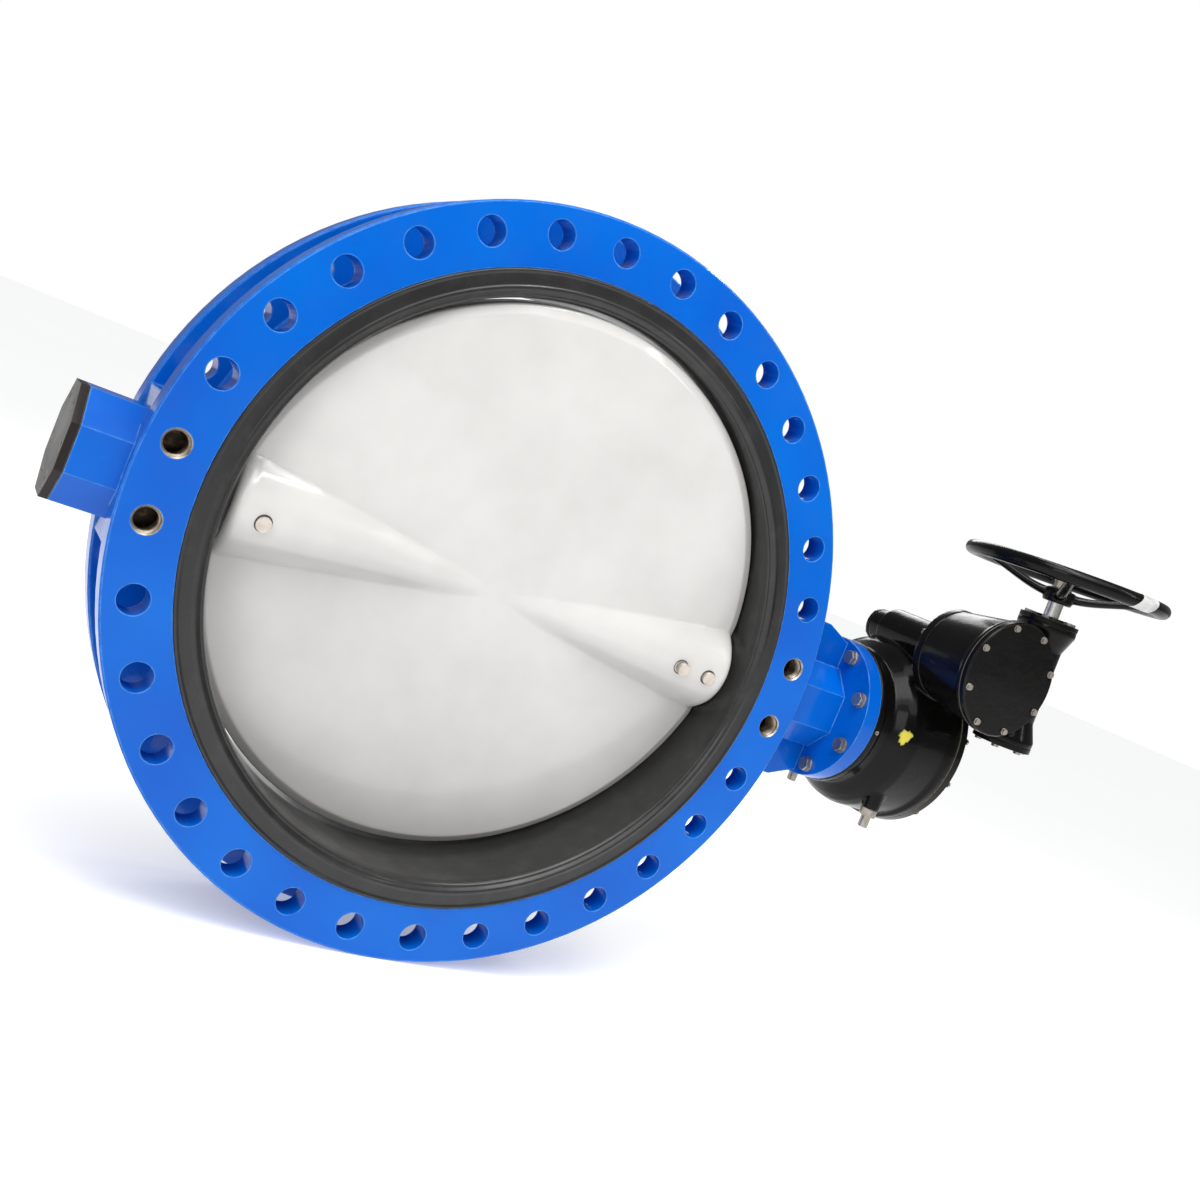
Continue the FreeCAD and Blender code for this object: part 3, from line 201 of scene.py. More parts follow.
def metal(name, colour, shade, rough, stretch=(1, 1, 1), grain=700, round_edge=0.6 * MM):
    """Bare or plated metal with fine tool marks, stains and bright corners."""
    look = Shader(name)
    rounded = look.rounded(round_edge)
    marks = look.noise(grain, 3, stretch)
    stain = look.spread(look.noise(38, 5), 0.42, 0.72)
    base = look.mix(look.maths("MULTIPLY", stain, 0.55), colour, shade)
    base = look.mix(look.maths("MULTIPLY", look.edges(rounded), 0.4), base, (0.9, 0.89, 0.87))
    gloss = look.spread(marks, 0.3, 0.7, rough[0], rough[1])
    normal = look.bumps([(marks, 0.04 * MM), (look.noise(90, 3), 0.06 * MM)], rounded)
    return look.finish(Base_Color=base, Metallic=0.92, Roughness=gloss, Normal=normal)


def tapped_metal():
    """Bare metal of the tapped holes: bright at the mouth, with painted shade that darkens it further in."""
    look = Shader("tapped_metal")
    height = look.node("SeparateXYZ", {"Vector": look.place}).outputs["Y"]
    from_middle = look.maths("ABSOLUTE", look.maths("SUBTRACT", height, STEM_Y))
    depth = look.maths("SUBTRACT", FACE_TO_FACE / 2, from_middle)
    # Painted shade: the metal gets darker with depth into the hole, with a little noise.
    hole_shade = look.spread(look.maths("ADD", depth, look.maths("MULTIPLY", look.noise(90, 4), 0.02)), 0.012, 0.034)
    marks = look.noise(300, 3, (1, 6, 1))
    base = look.mix(hole_shade, srgb(176, 166, 150), srgb(46, 38, 30))
    base = look.mix(look.spread(look.noise(60, 4), 0.5, 0.62, 0, 0.6), base, srgb(96, 78, 58))
    normal = look.bumps([(marks, 0.06 * MM)], look.rounded(0.5 * MM))
    gloss = look.spread(marks, 0.3, 0.7, 0.28, 0.5)
    return look.finish(Base_Color=base, Metallic=0.85, Roughness=gloss, Normal=normal)


def plain_sheet(name, colour, shade, rough, grain, depth):
    """Tape, gasket and other thin sheets: fibres, creases and soiling."""
    look = Shader(name)
    base = look.mix(look.spread(look.noise(40, 5), 0.4, 0.75), colour, shade)
    folds = [(look.noise(grain, 3), depth), (look.noise(55, 4), depth * 4)]
    normal = look.bumps(folds, look.rounded(0.3 * MM))
    gloss = look.spread(look.noise(70, 3), 0.3, 0.7, rough[0], rough[1])
    return look.finish(Base_Color=base, Roughness=gloss, Normal=normal)


# The pale edge colours of these paints are partly rubbed paint and partly a painted highlight along every
# edge.
BLUE = coating("blue_epoxy", srgb(0, 99, 198), srgb(0, 82, 184), srgb(120, 188, 240), (0.14, 0.28),
               0.3 * MM, 0.06 * MM, rub_and_highlight=0.8, dust=0.02, round_edge=4 * MM, shine=0.14)
CAST_BLUE = coating("cast_blue_epoxy", srgb(0, 94, 194), srgb(0, 76, 170), srgb(84, 156, 224), (0.16, 0.32),
                    1.4 * MM, 0.16 * MM, rub_and_highlight=0.6, dust=0.04, round_edge=6 * MM, shine=0.26)
GREY = coating("disc_coating", srgb(211, 209, 206), srgb(200, 198, 195), srgb(160, 156, 148), (0.12, 0.26),
               0.35 * MM, 0.05 * MM, rub_and_highlight=0.1, dust=0.02, round_edge=3 * MM, shine=0.3)
BLACK = coating("black_enamel", srgb(13, 12, 11), srgb(9, 8, 8), srgb(112, 106, 98), (0.14, 0.32),
                0.8 * MM, 0.1 * MM, rub_and_highlight=0.3, dust=0.006, round_edge=3 * MM, shine=0.11)
RUBBER = rubber("seat_rubber", srgb(30, 30, 29), srgb(21, 21, 21))
STEEL = metal("stainless_steel", srgb(206, 196, 186), srgb(150, 136, 122), (0.2, 0.42))
ZINC = metal("zinc_plate", srgb(178, 170, 160), srgb(112, 102, 90), (0.24, 0.44), grain=900)
GROUND = metal("ground_steel", srgb(214, 210, 204), srgb(160, 154, 146), (0.12, 0.32), (1, 1, 9), 500)
CUT_METAL = tapped_metal()
BRONZE = metal("bronze", srgb(196, 150, 84), srgb(140, 98, 50), (0.22, 0.42))
IRON = metal("gear_iron", srgb(128, 126, 122), srgb(84, 80, 74), (0.35, 0.6))
DARK_END = coating("dark_primer", srgb(38, 30, 28), srgb(24, 20, 20), srgb(96, 76, 62), (0.36, 0.58),
                   0.7 * MM, 0.15 * MM, rub_and_highlight=0.5, dust=0.05, shine=0.15)
OLD_STEEL = metal("stained_screws", srgb(96, 88, 82), srgb(48, 40, 36), (0.35, 0.6))
TAPE = plain_sheet("white_tape", srgb(205, 205, 203), srgb(168, 168, 166), (0.42, 0.6), 300, 0.08 * MM)
PAPER = plain_sheet("gasket_sheet", srgb(126, 116, 98), srgb(96, 88, 76), (0.7, 0.9), 600, 0.05 * MM)
YELLOW = coating("yellow_paint", srgb(226, 218, 84), srgb(206, 190, 60), srgb(150, 140, 60), (0.3, 0.5),
                 0.3 * MM, 0.1 * MM, rub_and_highlight=0.1)

SLOT_LOOKS = {"blue_epoxy": BLUE, "disc_coating": GREY, "seat_rubber": RUBBER, "stainless": STEEL,
              "bronze": BRONZE, "packing": RUBBER, "gearbox_black": BLACK, "zinc_steel": ZINC,
              "steel": GROUND, "gear_iron": IRON, "paper": PAPER, "pointer_yellow": YELLOW,
              "tape_white": TAPE}
BODY_OF = {node: body for body, nodes in frame["record"]["behaviour"]["bodies"].items() for node in nodes}
SLOT_OF = {part["node"]: part["material_slot"] for part in frame["record"]["subparts"]}


# ---------------------------------------------------------------- mesh helpers
def piece(name, mesh, material, body, *nodes, slot=None):
    """Put a finished mesh into the scene, riding on its body and standing for its nodes."""
    obj = bpy.data.objects.new(name, mesh)
    bpy.context.scene.collection.objects.link(obj)
    if not mesh.materials:
        mesh.materials.append(material)
    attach(obj, body)
    if nodes:
        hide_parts(*nodes)
    return obj


def to_mesh(bm, name, sharp=35):
    """Mesh with smooth faces, split at corners sharper than the angle in degrees."""
    bmesh.ops.recalc_face_normals(bm, faces=bm.faces[:])
    for face in bm.faces:
        face.smooth = True
    for edge in bm.edges:
        edge.smooth = len(edge.link_faces) == 2 and edge.calc_face_angle(0) < math.radians(sharp)
    mesh = bpy.data.meshes.new(name)
    bm.to_mesh(mesh)
    bm.free()
    return mesh


def copied(node):
    """bmesh of a CAD node with its seams welded and its flat faces joined."""
    bm = bmesh.new()
    bm.from_mesh(NODES[node].data)
    bmesh.ops.remove_doubles(bm, verts=bm.verts[:], dist=0.004 * MM)
    bmesh.ops.dissolve_limit(bm, angle_limit=math.radians(0.4), verts=bm.verts[:], edges=bm.edges[:])
    return bm


def refined(node, material, width, segments=2, turn=32):
    """The CAD shape with its corners rounded off by a bevel of that width."""
    bm = copied(node)
    corners = [edge for edge in bm.edges if len(edge.link_faces) == 2
               and edge.calc_face_angle_signed(0) > math.radians(turn) and edge.calc_length() > 0.3 * MM]
    bmesh.ops.bevel(bm, geom=corners, offset=width, segments=segments, profile=0.5, affect="EDGES",
                    clamp_overlap=True)
    obj = piece(node + "_rounded", to_mesh(bm, node + "_mesh"), material, BODY_OF[node], node)
    obj.modifiers.new("flat_faces", "WEIGHTED_NORMAL").keep_sharp = True
    return obj


def fillet(obj, voxel, passes):
    """Remesh an object and smooth it, so that every inside and outside corner gets a fillet."""
    remesh = obj.modifiers.new("fillets", "REMESH")
    remesh.mode = "VOXEL"
    remesh.voxel_size = voxel
    remesh.use_smooth_shade = True
    smooth = obj.modifiers.new("smooth", "SMOOTH")
    smooth.factor = 0.5
    smooth.iterations = passes


def cast(node, material, voxel, passes):
    """The CAD shape as a casting with filleted corners."""
    mesh = to_mesh(copied(node), node + "_mesh", 180)
    fillet(piece(node + "_cast", mesh, material, BODY_OF[node], node), voxel, passes)


def join_rings(bm, low, high):
    """Faces between two closed rings of vertices."""
    count = len(low)
    for index in range(count):
        after = (index + 1) % count
        bm.faces.new((low[index], low[after], high[after], high[index]))


def lathe(points, count, start, axis):
    """bmesh turned about an axis from a closed outline of (radius, height) points."""
    bm = bmesh.new()
    aim = Vector(axis).to_track_quat("Z", "Y").to_matrix()
    rings = []
    for radius, height in points:
        ring = []
        for index in range(count):
            angle = TAU * index / count
            local = Vector((radius * math.cos(angle), radius * math.sin(angle), height))
            ring.append(bm.verts.new(Vector(start) + aim @ local))
        rings.append(ring)
    for low, high in [*zip(rings, rings[1:]), (rings[-1], rings[0])]:
        join_rings(bm, low, high)
    return bm


def softened(points, radius, steps=4):
    """Outline with each corner replaced by a short arc."""
    result = []
    count = len(points)
    for index, corner in enumerate(points):
        here = Vector(corner)
        before, after = Vector(points[index - 1]) - here, Vector(points[(index + 1) % count]) - here
        reach = min(radius, before.length * 0.45, after.length * 0.45)
        first, last = here + before.normalized() * reach, here + after.normalized() * reach
        for step in range(steps + 1):
            t = step / steps
            result.append(tuple(first * (1 - t) ** 2 + here * 2 * t * (1 - t) + last * t ** 2))
    return result


# ---------------------------------------------------------------- valve body
GEAR_SEAT_X = 0.915
TAP_MOUTH_R, TAP_DEPTH = 0.0268, 0.060
SMOOTH, ROUGH, CUT = 0, 1, 2


def body_surface(centre, normal):
    """Which of the three surfaces a face of the body casting has."""
    radius = math.hypot(centre.x, centre.z)
    from_face = min(centre.y, FACE_TO_FACE - centre.y)
    for angle in TAPPED:
        away = math.hypot(centre.x - BOLT_R * math.cos(angle), centre.z - BOLT_R * math.sin(angle))
        if away < TAP_MOUTH_R and 0.2 * MM < from_face < TAP_DEPTH:
            return CUT
    flange_face = abs(normal.y) > 0.95 and from_face < 8 * MM
    bolt_hole = abs(radius - BOLT_R) < 32 * MM and abs(normal.y) < 0.5
    machined = flange_face or bolt_hole or radius > FLANGE_R - 4 * MM or centre.x > GEAR_SEAT_X
    return SMOOTH if machined else ROUGH


def valve_body():
    """Body casting: machined flange faces are smooth, and everything between them is rough."""
    mesh = refined("valve_body", BLUE, 1.6 * MM, 2, 40).data
    mesh.materials.append(CAST_BLUE)
    mesh.materials.append(CUT_METAL)
    for face in mesh.polygons:
        face.material_index = body_surface(face.center, face.normal)


def tapped_threads():
    """Thread ridges in the eight tapped holes."""
    bm = bmesh.new()
    pitch, turns, steps, depth = 5 * MM, 9, 28, 2.4 * MM
    ridge = ((0.4 * MM, -0.42), (-depth, 0), (0.4 * MM, 0.42))
    for angle in TAPPED:
        for face_y, inward in ((0.0, 1), (FACE_TO_FACE, -1)):
            centre = Vector((BOLT_R * math.cos(angle), face_y, BOLT_R * math.sin(angle)))
            rings = []
            for index in range(turns * steps + 1):
                turn = TAU * index / steps
                along = 3.5 * MM + pitch * index / steps
                fade = min(1.0, index / steps, (turns * steps - index) / steps)
                ring = []
                for radial, shift in ridge:
                    radius = TAP_R + (radial * fade if radial < 0 else radial)
                    height = inward * (along + shift * pitch)
                    spot = Vector((radius * math.cos(turn), height, radius * math.sin(turn)))
                    ring.append(bm.verts.new(centre + spot))
                rings.append(ring)
            for low, high in zip(rings, rings[1:]):
                join_rings(bm, low, high)
            bm.faces.new(rings[0])
            bm.faces.new(rings[-1])
    piece("flange_threads", to_mesh(bm, "flange_threads_mesh", 50), CUT_METAL, "valve", slot="zinc_steel")


def seat_liner():
    """Rubber seat turned in one piece, with a flat pad pressed out round each stem."""
    half = [(BORE_R, 0.040), (BORE_R, 0.018), (0.592, 0.008), (0.5955, 0.003), (0.5985, 0.0045),
            (0.603, 0.000), (0.6065, -0.003), (0.611, -0.003), (0.615, -0.001), (0.636, -0.001),
            (0.639, -0.003), (0.643, -0.003), (LIP_R, 0.001), (LIP_R, 0.010), (LINER_SEAT_R, 0.010)]
    mirrored = [(radius, FACE_TO_FACE - height) for radius, height in half[::-1]]
    inner = [(BORE_R, FACE_TO_FACE - 0.04 - (FACE_TO_FACE - 0.08) * index / 24) for index in range(1, 24)]
    outline = softened(half[1:] + mirrored[:-1], 1.8 * MM, 3)
    bm = lathe(outline + inner, 720, (0, 0, 0), (0, 1, 0))
    for vert in bm.verts:
        radius = math.hypot(vert.co.x, vert.co.z)
        away = math.hypot(vert.co.y - STEM_Y, vert.co.z)
        if radius < BORE_R + 4 * MM and away < PAD_R + PAD_SLOPE and abs(vert.co.x) > PAD_FACE:
            share = min(1.0, max(0.0, (PAD_R + PAD_SLOPE - away) / PAD_SLOPE))
            share = share * share * (3 - 2 * share)
            vert.co.x += (math.copysign(PAD_FACE, vert.co.x) - vert.co.x) * share
    piece("seat_liner_moulding", to_mesh(bm, "seat_liner_mesh", 50), RUBBER, "valve", "seat_liner")


# ---------------------------------------------------------------- disc
PIN_PLACES = (-0.513, 0.451, 0.521)
HUB_ROOT_R, HUB_MOUTH_R, HUB_TAPER_END, HUB_FACE, HUB_ROUND = 0.026, 0.099, 0.545, 0.5755, 0.022
PLATE_HALF, RIM_HALF, BEVEL_R, RIM_R = 0.033, 0.022, 0.569, 0.589
HUB_FLARE = (HUB_MOUTH_R - HUB_ROOT_R) / HUB_TAPER_END
DISC_LEAN = Matrix.Rotation(REST, 3, "X")


def disc_height(x, z):
    """Half thickness of the disc at a point: plate and hub run together in a fillet."""
    radius = math.hypot(x, z)
    plate = PLATE_HALF - max(0.0, (radius - BEVEL_R) / (RIM_R - BEVEL_R)) * (PLATE_HALF - RIM_HALF)
    reach = min(abs(x), HUB_TAPER_END) / HUB_TAPER_END
    hub_r = HUB_ROOT_R + HUB_FLARE * HUB_TAPER_END * reach
    past = min(HUB_ROUND, max(0.0, abs(x) - (HUB_FACE - HUB_ROUND)))
    hub_r -= HUB_ROUND - math.sqrt(HUB_ROUND ** 2 - past ** 2)
    hub = math.sqrt(max(hub_r ** 2 - z ** 2, 0.0))
    blend = 0.004 + 0.034 * reach
    overlap = max(blend - abs(plate - hub), 0.0) / blend
    return max(plate, hub) + overlap * overlap * blend / 4


def disc():
    """Disc as two height fields on one grid of rings, joined round the rim."""
    bm = bmesh.new()
    sectors, rings = 720, 150
    sheets = []
    for side in (-1, 1):
        sheet = []
        for ring in range(1, rings + 1):
            row = []
            for sector in range(sectors):
                angle = TAU * sector / sectors
                radius = RIM_R * (1 - (1 - ring / rings) ** 1.15)
                x, z = radius * math.cos(angle), radius * math.sin(angle)
                if abs(x) > HUB_FACE:
                    x = math.copysign(HUB_FACE, x)
                height = disc_height(x, z)
                if ring == rings:
                    height -= 1.5 * MM
                spot = DISC_LEAN @ Vector((x, side * height, z))
                row.append(bm.verts.new(spot + Vector((0, STEM_Y, 0))))
            sheet.append(row)
        middle = DISC_LEAN @ Vector((0, side * disc_height(0, 0), 0))
        centre = bm.verts.new(middle + Vector((0, STEM_Y, 0)))
        for index in range(sectors):
            bm.faces.new((centre, sheet[0][index], sheet[0][(index + 1) % sectors]))
        for low, high in zip(sheet, sheet[1:]):
            join_rings(bm, low, high)
        sheets.append(sheet)
    join_rings(bm, sheets[0][-1], sheets[1][-1])
    bmesh.ops.remove_doubles(bm, verts=bm.verts[:], dist=0.02 * MM)
    piece("disc_casting", to_mesh(bm, "disc_mesh", 40), GREY, "disc", "disc")


def pin_shadow_rings():
    """Dark rubber ring round the head of each disc pin, on both faces, as painted shade of the gap round the
    pin.
    """
    section = [(15.2 * MM, 0), (17.2 * MM, 0), (16.8 * MM, 1.9 * MM), (15.3 * MM, 2.0 * MM)]
    whole = bmesh.new()
    for x in PIN_PLACES:
        for side in (-1, 1):
            out = DISC_LEAN @ Vector((0, side, 0))
            sunk = disc_height(x, 0) - 1.5 * MM
            foot = Vector((0, STEM_Y, 0)) + DISC_LEAN @ Vector((x, side * sunk, 0))
            slope = -math.copysign(HUB_FLARE, x)
            ring = lathe(softened(section, 0.5 * MM), 64, (0, 0, 0), (0, 0, 1))
            aim = (out + Vector((slope, 0, 0))).to_track_quat("Z", "Y").to_matrix().to_4x4()
            ring.transform(Matrix.Translation(foot) @ aim)
            mesh = bpy.data.meshes.new("pin_ring")
            ring.to_mesh(mesh)
            ring.free()
            whole.from_mesh(mesh)
    # The ring's dark colour stands in for the shadow in the gap round each pin head.
    piece("disc_pin_shadow_rings", to_mesh(whole, "disc_pin_shadow_rings_mesh"), RUBBER, "disc", slot="seat_rubber")


# ---------------------------------------------------------------- handwheel
def swept(route, radii, around=16):
    """Closed tube along a route with a radius pair at each point."""
    bm = bmesh.new()
    rings = []
    for index, (spot, (wide, thin)) in enumerate(zip(route, radii)):
        ahead = route[min(index + 1, len(route) - 1)] - route[max(index - 1, 0)]
        side = ahead.cross(Vector((0, 0, 1))).normalized()
        top = side.cross(ahead).normalized()
        rings.append([bm.verts.new(spot + side * wide * math.cos(TAU * k / around)
                                   + top * thin * math.sin(TAU * k / around)) for k in range(around)])
    for low, high in zip(rings, rings[1:]):
        join_rings(bm, low, high)
    bm.faces.new(rings[0])
    bm.faces.new(rings[-1])
    return bm


SHAFT_HOLE_R = 0.0185
SPOKE_FOOT, SPOKE_START, SPOKE_REACH = HUB_LOW + 0.02, 0.024, RIM_MID_R - 0.028
SPOKE_HALF_WIDTH, SPOKE_HALF_DEPTH = 0.0115, 0.0085


def spoke(quarter):
    """One spoke, which rises from the hub to the rim in an S and flares at both ends."""
    way = Matrix.Rotation(math.radians(45 + 90 * quarter), 3, "Z") @ Vector((1, 0, 0))
    route, radii = [], []
    for step in range(21):
        t = step / 20
        rise = SPOKE_FOOT + (RIM_Z - SPOKE_FOOT) * (3 * t * t - 2 * t ** 3)
        flare = 1 + 0.35 * (1 - t) ** 3 + 0.3 * t ** 6
        route.append(Vector((INPUT_X, SECOND_Y, rise)) + way * (SPOKE_START + SPOKE_REACH * t))
        radii.append((SPOKE_HALF_WIDTH * flare, SPOKE_HALF_DEPTH * flare))
    return swept(route, radii)


def handwheel():
    """Cast handwheel: rim, hub and four spokes, remeshed into one casting."""
    rim = [(RIM_MID_R + RIM_TUBE_R * math.cos(TAU * k / 24), RIM_TUBE_R * math.sin(TAU * k / 24))
           for k in range(24)]
    height = HUB_HIGH - HUB_LOW
    hub = [(SHAFT_HOLE_R, 0), (RIM_HUB_R, 0), (RIM_HUB_R, height), (SHAFT_HOLE_R, height)]
    parts = [lathe(rim, 180, (INPUT_X, SECOND_Y, RIM_Z), (0, 0, 1)),
             lathe(softened(hub, 4 * MM), 72, (INPUT_X, SECOND_Y, HUB_LOW), (0, 0, 1))]
    parts += [spoke(quarter) for quarter in range(4)]
    whole = bmesh.new()
    for part in parts:
        bmesh.ops.recalc_face_normals(part, faces=part.faces[:])
        mesh = bpy.data.meshes.new("handwheel_part")
        part.to_mesh(mesh)
        part.free()
        whole.from_mesh(mesh)
    whole.transform(LEAN)
    obj = piece("handwheel_casting", to_mesh(whole, "handwheel_mesh", 180), BLACK, "handwheel", "handwheel")
    fillet(obj, 2.2 * MM, 6)


TAPE_START, TAPE_SPREAD, TAPE_SKEW = math.radians(-97), 0.245, 0.05
TAPE_GAP, CREASE_DEPTH = 0.35 * MM, 0.25 * MM


def rim_tape():
    """Tape wound askew round the rim, with creases."""
    bm = bmesh.new()
    around, along = 40, 34
    rings = []
    for step in range(along + 1):
        row = []
        for k in range(around + 1):
            turn = TAU * k / around
            t = step / along
            angle = TAPE_START + TAPE_SPREAD * t + TAPE_SKEW * math.sin(turn)
            crease = CREASE_DEPTH * math.sin(9 * turn + 3 * t) * math.sin(5 * t + turn)
            tube = RIM_TUBE_R + TAPE_GAP + max(0.0, crease)
            out = RIM_MID_R + tube * math.cos(turn)
            row.append(bm.verts.new((INPUT_X + out * math.cos(angle), SECOND_Y + out * math.sin(angle),
                                     RIM_Z + tube * math.sin(turn))))
        rings.append(row)
    for low, high in zip(rings, rings[1:]):
        for k in range(around):
            bm.faces.new((low[k], low[k + 1], high[k + 1], high[k]))
    bmesh.ops.remove_doubles(bm, verts=bm.verts[:], dist=0.01 * MM)
    bm.transform(LEAN)
    obj = piece("rim_tape_wrap", to_mesh(bm, "rim_tape_mesh", 60), TAPE, "handwheel", "rim_tape")
    thick = obj.modifiers.new("thickness", "SOLIDIFY")
    thick.thickness = 0.25 * MM
    thick.offset = -1


# ---------------------------------------------------------------- small marks on the first gearbox
CASING_SHOULDER = ((1.010, 0.171), (1.034, 0.196), (1.050, 0.208), (1.068, 0.214))


def shoulder_radius(x):
    """Radius of the casing's shoulder at a place along the stem axis."""
    for (x0, r0), (x1, r1) in zip(CASING_SHOULDER, CASING_SHOULDER[1:]):
        if x <= x1:
            return r0 + (r1 - r0) * (x - x0) / (x1 - x0)
    return CASING_SHOULDER[-1][1]


def paint_dab():
    """Dab of yellow marking paint on the shoulder of the casing."""
    bm = bmesh.new()
    middle_x, middle_turn, spokes, rings = 1.037, math.radians(-85), 48, 6
    shell = []
    for ring in range(rings + 1):
        row = []
        for k in range(spokes):
            turn = TAU * k / spokes
            ragged = 1 + 0.16 * math.sin(3 * turn + 0.7) + 0.1 * math.sin(7 * turn)
            ragged += 0.06 * math.sin(13 * turn)
            reach = ragged * ring / rings
            x = middle_x + 0.011 * reach * math.cos(turn)
            around = middle_turn + (0.018 * math.sin(turn) + 0.004 * math.cos(turn)) * reach / 0.2
            proud = 0.1 * MM + 1.0 * MM * math.sqrt(1 - (ring / rings) ** 4)
            radius = shoulder_radius(x) + proud
            row.append(bm.verts.new((x, STEM_Y + radius * math.sin(around), radius * math.cos(around))))
        shell.append(row)
    for low, high in zip(shell, shell[1:]):
        join_rings(bm, low, high)
    bm.faces.new(shell[-1])
    bmesh.ops.remove_doubles(bm, verts=bm.verts[:], dist=0.005 * MM)
    piece("paint_dab", to_mesh(bm, "paint_dab_mesh", 60), YELLOW, "valve", slot="pointer_yellow")


def seat_grub_screw():
    """Socket set screw in the edge of the casing's base flange."""
    inner, outer, low, high = 2.4 * MM, 5 * MM, -6 * MM, 2.4 * MM
    points = softened([(inner, low), (outer, low), (outer, high), (inner, high)], 0.8 * MM)
    bm = lathe(points, 40, (0.969, STEM_Y - 0.177, 0.002), (0, -1, 0))
    piece("casing_set_screw", to_mesh(bm, "casing_set_screw_mesh"), ZINC, "valve", slot="zinc_steel")


# ---------------------------------------------------------------- the rest of the CAD nodes
CASTINGS = {"gearbox_casing": (3.0 * MM, 5), "reducer_casing": (2.4 * MM, 5)}
ROUNDED = {"gearbox_cover": (BLACK, 1.5 * MM), "reducer_cover": (BLACK, 1.2 * MM),
           "worm_end_cap": (BLACK, 1.2 * MM), "input_lower_cap": (BLACK, 1.2 * MM),
           "input_upper_cap": (BLACK, 1.2 * MM), "lower_end_cover": (DARK_END, 1.2 * MM),
           "lower_cover_screws": (OLD_STEEL, 0.3 * MM), "top_flange_bolts": (ZINC, 0.5 * MM),
           "gearbox_cover_screws": (ZINC, 0.35 * MM), "reducer_cover_screws": (ZINC, 0.35 * MM),
           "reducer_joint_bolts": (ZINC, 0.4 * MM), "input_cap_screws": (ZINC, 0.35 * MM),
           "stop_screw_nuts": (ZINC, 0.6 * MM), "stop_screws": (ZINC, 0.8 * MM),
           "handwheel_nut": (ZINC, 0.5 * MM), "disc_pins": (STEEL, 1.4 * MM),
           "position_pointer": (YELLOW, 0.5 * MM)}


def other_nodes():
    """Castings and rounded pieces from the CAD shapes, and materials on the hidden nodes."""
    for node, (voxel, passes) in CASTINGS.items():
        cast(node, BLACK, voxel, passes)
    for node, (material, width) in ROUNDED.items():
        refined(node, material, width)
    replaced = set(CASTINGS) | set(ROUNDED) | {"valve_body", "seat_liner", "disc", "handwheel", "rim_tape"}
    for name, obj in NODES.items():
        if name not in replaced:
            obj.data.materials.clear()
            obj.data.materials.append(SLOT_LOOKS[SLOT_OF[name]])


# ---------------------------------------------------------------- stage
def stage():
    """Wide pale floor just under the valve."""
    low, reach = cad_box[0].z, 60.0
    mesh = bpy.data.meshes.new("floor_mesh")
    mesh.from_pydata([(-reach, -reach, low), (reach, -reach, low), (reach, reach, low), (-reach, reach, low)],
                     [], [(0, 1, 2, 3)])
    floor = bpy.data.objects.new("floor", mesh)
    bpy.context.scene.collection.objects.link(floor)
    look = Shader("studio_floor")
    tone = look.mix(look.spread(look.noise(0.6, 2), 0.3, 0.7), (0.86, 0.86, 0.855), (0.88, 0.88, 0.875))
    mesh.materials.append(look.finish(Base_Color=tone, Roughness=0.9, Specular_IOR_Level=0.1,
                                      Emission_Color=(1, 1, 1, 1), Emission_Strength=0.36))


def area_light(name, spot, target, width, height, power, colour=(1, 1, 1)):
    light = bpy.data.lights.new(name, "AREA")
    light.shape = "RECTANGLE"
    light.size, light.size_y = width, height
    light.energy = power
    light.color = colour
    obj = bpy.data.objects.new(name, light)
    obj.location = spot
    obj.rotation_euler = (Vector(target) - Vector(spot)).to_track_quat("-Z", "Y").to_euler()
    bpy.context.scene.collection.objects.link(obj)


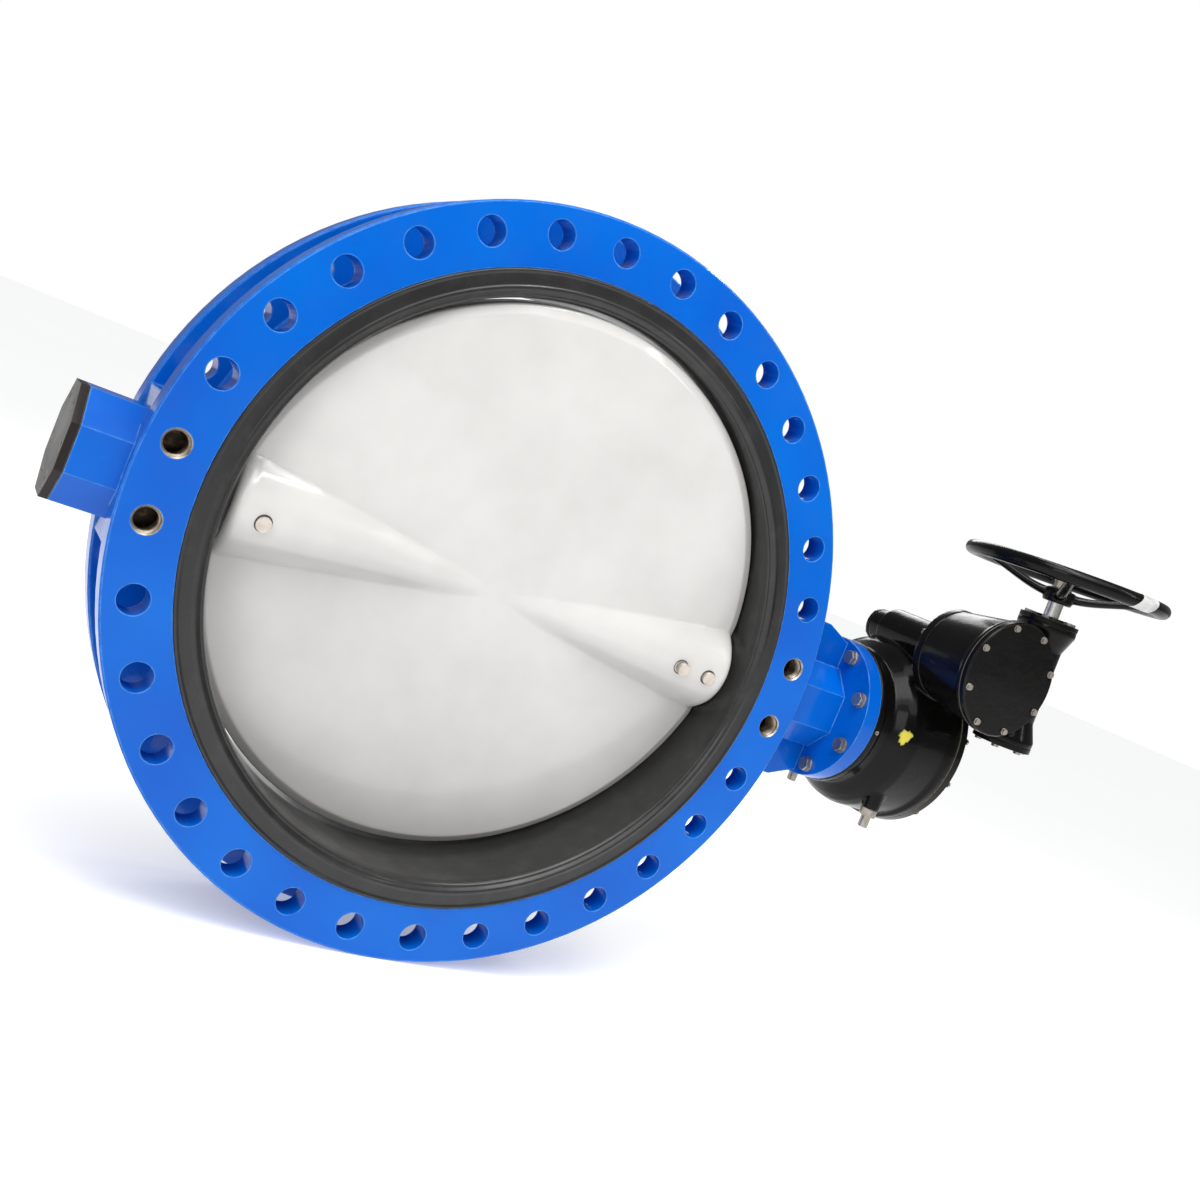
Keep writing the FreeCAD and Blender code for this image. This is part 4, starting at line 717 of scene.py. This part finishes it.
def lights():
    """White to the camera, a dim fill on the valve, five panels and a broad overhead sun."""
    world = bpy.data.worlds.new("studio")
    bpy.context.scene.world = world
    world.use_nodes = True
    nodes, links = world.node_tree.nodes, world.node_tree.links
    nodes.clear()
    seen = nodes.new("ShaderNodeBackground")
    seen.inputs[0].default_value = (1, 1, 1, 1)
    seen.inputs[1].default_value = 1.0
    fill = nodes.new("ShaderNodeBackground")
    fill.inputs[0].default_value = (0.95, 0.97, 1.0, 1)
    fill.inputs[1].default_value = 0.22
    path = nodes.new("ShaderNodeLightPath")
    either = nodes.new("ShaderNodeMixShader")
    output = nodes.new("ShaderNodeOutputWorld")
    links.new(path.outputs["Is Camera Ray"], either.inputs[0])
    links.new(fill.outputs[0], either.inputs[1])
    links.new(seen.outputs[0], either.inputs[2])
    links.new(either.outputs[0], output.inputs[0])
    area_light("overhead", (-0.6, -1.6, 3.6), (0.2, 0.1, 0), 3.0, 2.0, 70)
    area_light("front_left", (-3.6, -3.2, 1.6), (0.2, 0.1, 0), 1.6, 2.2, 42)
    area_light("long_strip", (0.9, -0.35, 2.6), (0.2, 0.1, 0), 3.2, 0.14, 26)
    area_light("short_strip", (2.4, -2.4, 2.2), (1.1, 0, 0.1), 0.2, 2.0, 15)
    area_light("rear", (2.6, 3.2, 2.4), (0.2, 0.1, 0), 2.0, 1.6, 50)
    sky = bpy.data.lights.new("sky", "SUN")
    sky.energy = 1.7
    sky.angle = math.radians(60)
    above = bpy.data.objects.new("sky", sky)
    above.rotation_euler = Vector((0.3, 0.5, -1.0)).to_track_quat("-Z", "Y").to_euler()
    bpy.context.scene.collection.objects.link(above)


def camera():
    """The photo's viewpoint: its right and down directions, and its place and lens."""
    right, down = Vector((0.80717, -0.44835, 0.38403)), Vector((0.30606, -0.23844, -0.92167))
    ahead = right.cross(-down).normalized() * -1
    turn = Matrix((right, -down, -ahead)).transposed()
    lens = bpy.data.cameras.new("camera")
    lens.lens, lens.sensor_width = 37.42, 36
    lens.shift_x, lens.shift_y = -0.0018, -0.0205
    obj = bpy.data.objects.new("camera", lens)
    obj.matrix_world = Matrix.Translation((-1.1185, -2.1705, 0.2545)) @ turn.to_4x4()
    bpy.context.scene.collection.objects.link(obj)
    bpy.context.scene.camera = obj
    bpy.context.scene.view_settings.view_transform = "Standard"


valve_body()
tapped_threads()
seat_liner()
disc()
pin_shadow_rings()
handwheel()
rim_tape()
paint_dab()
seat_grub_screw()
other_nodes()
stage()
lights()
camera()
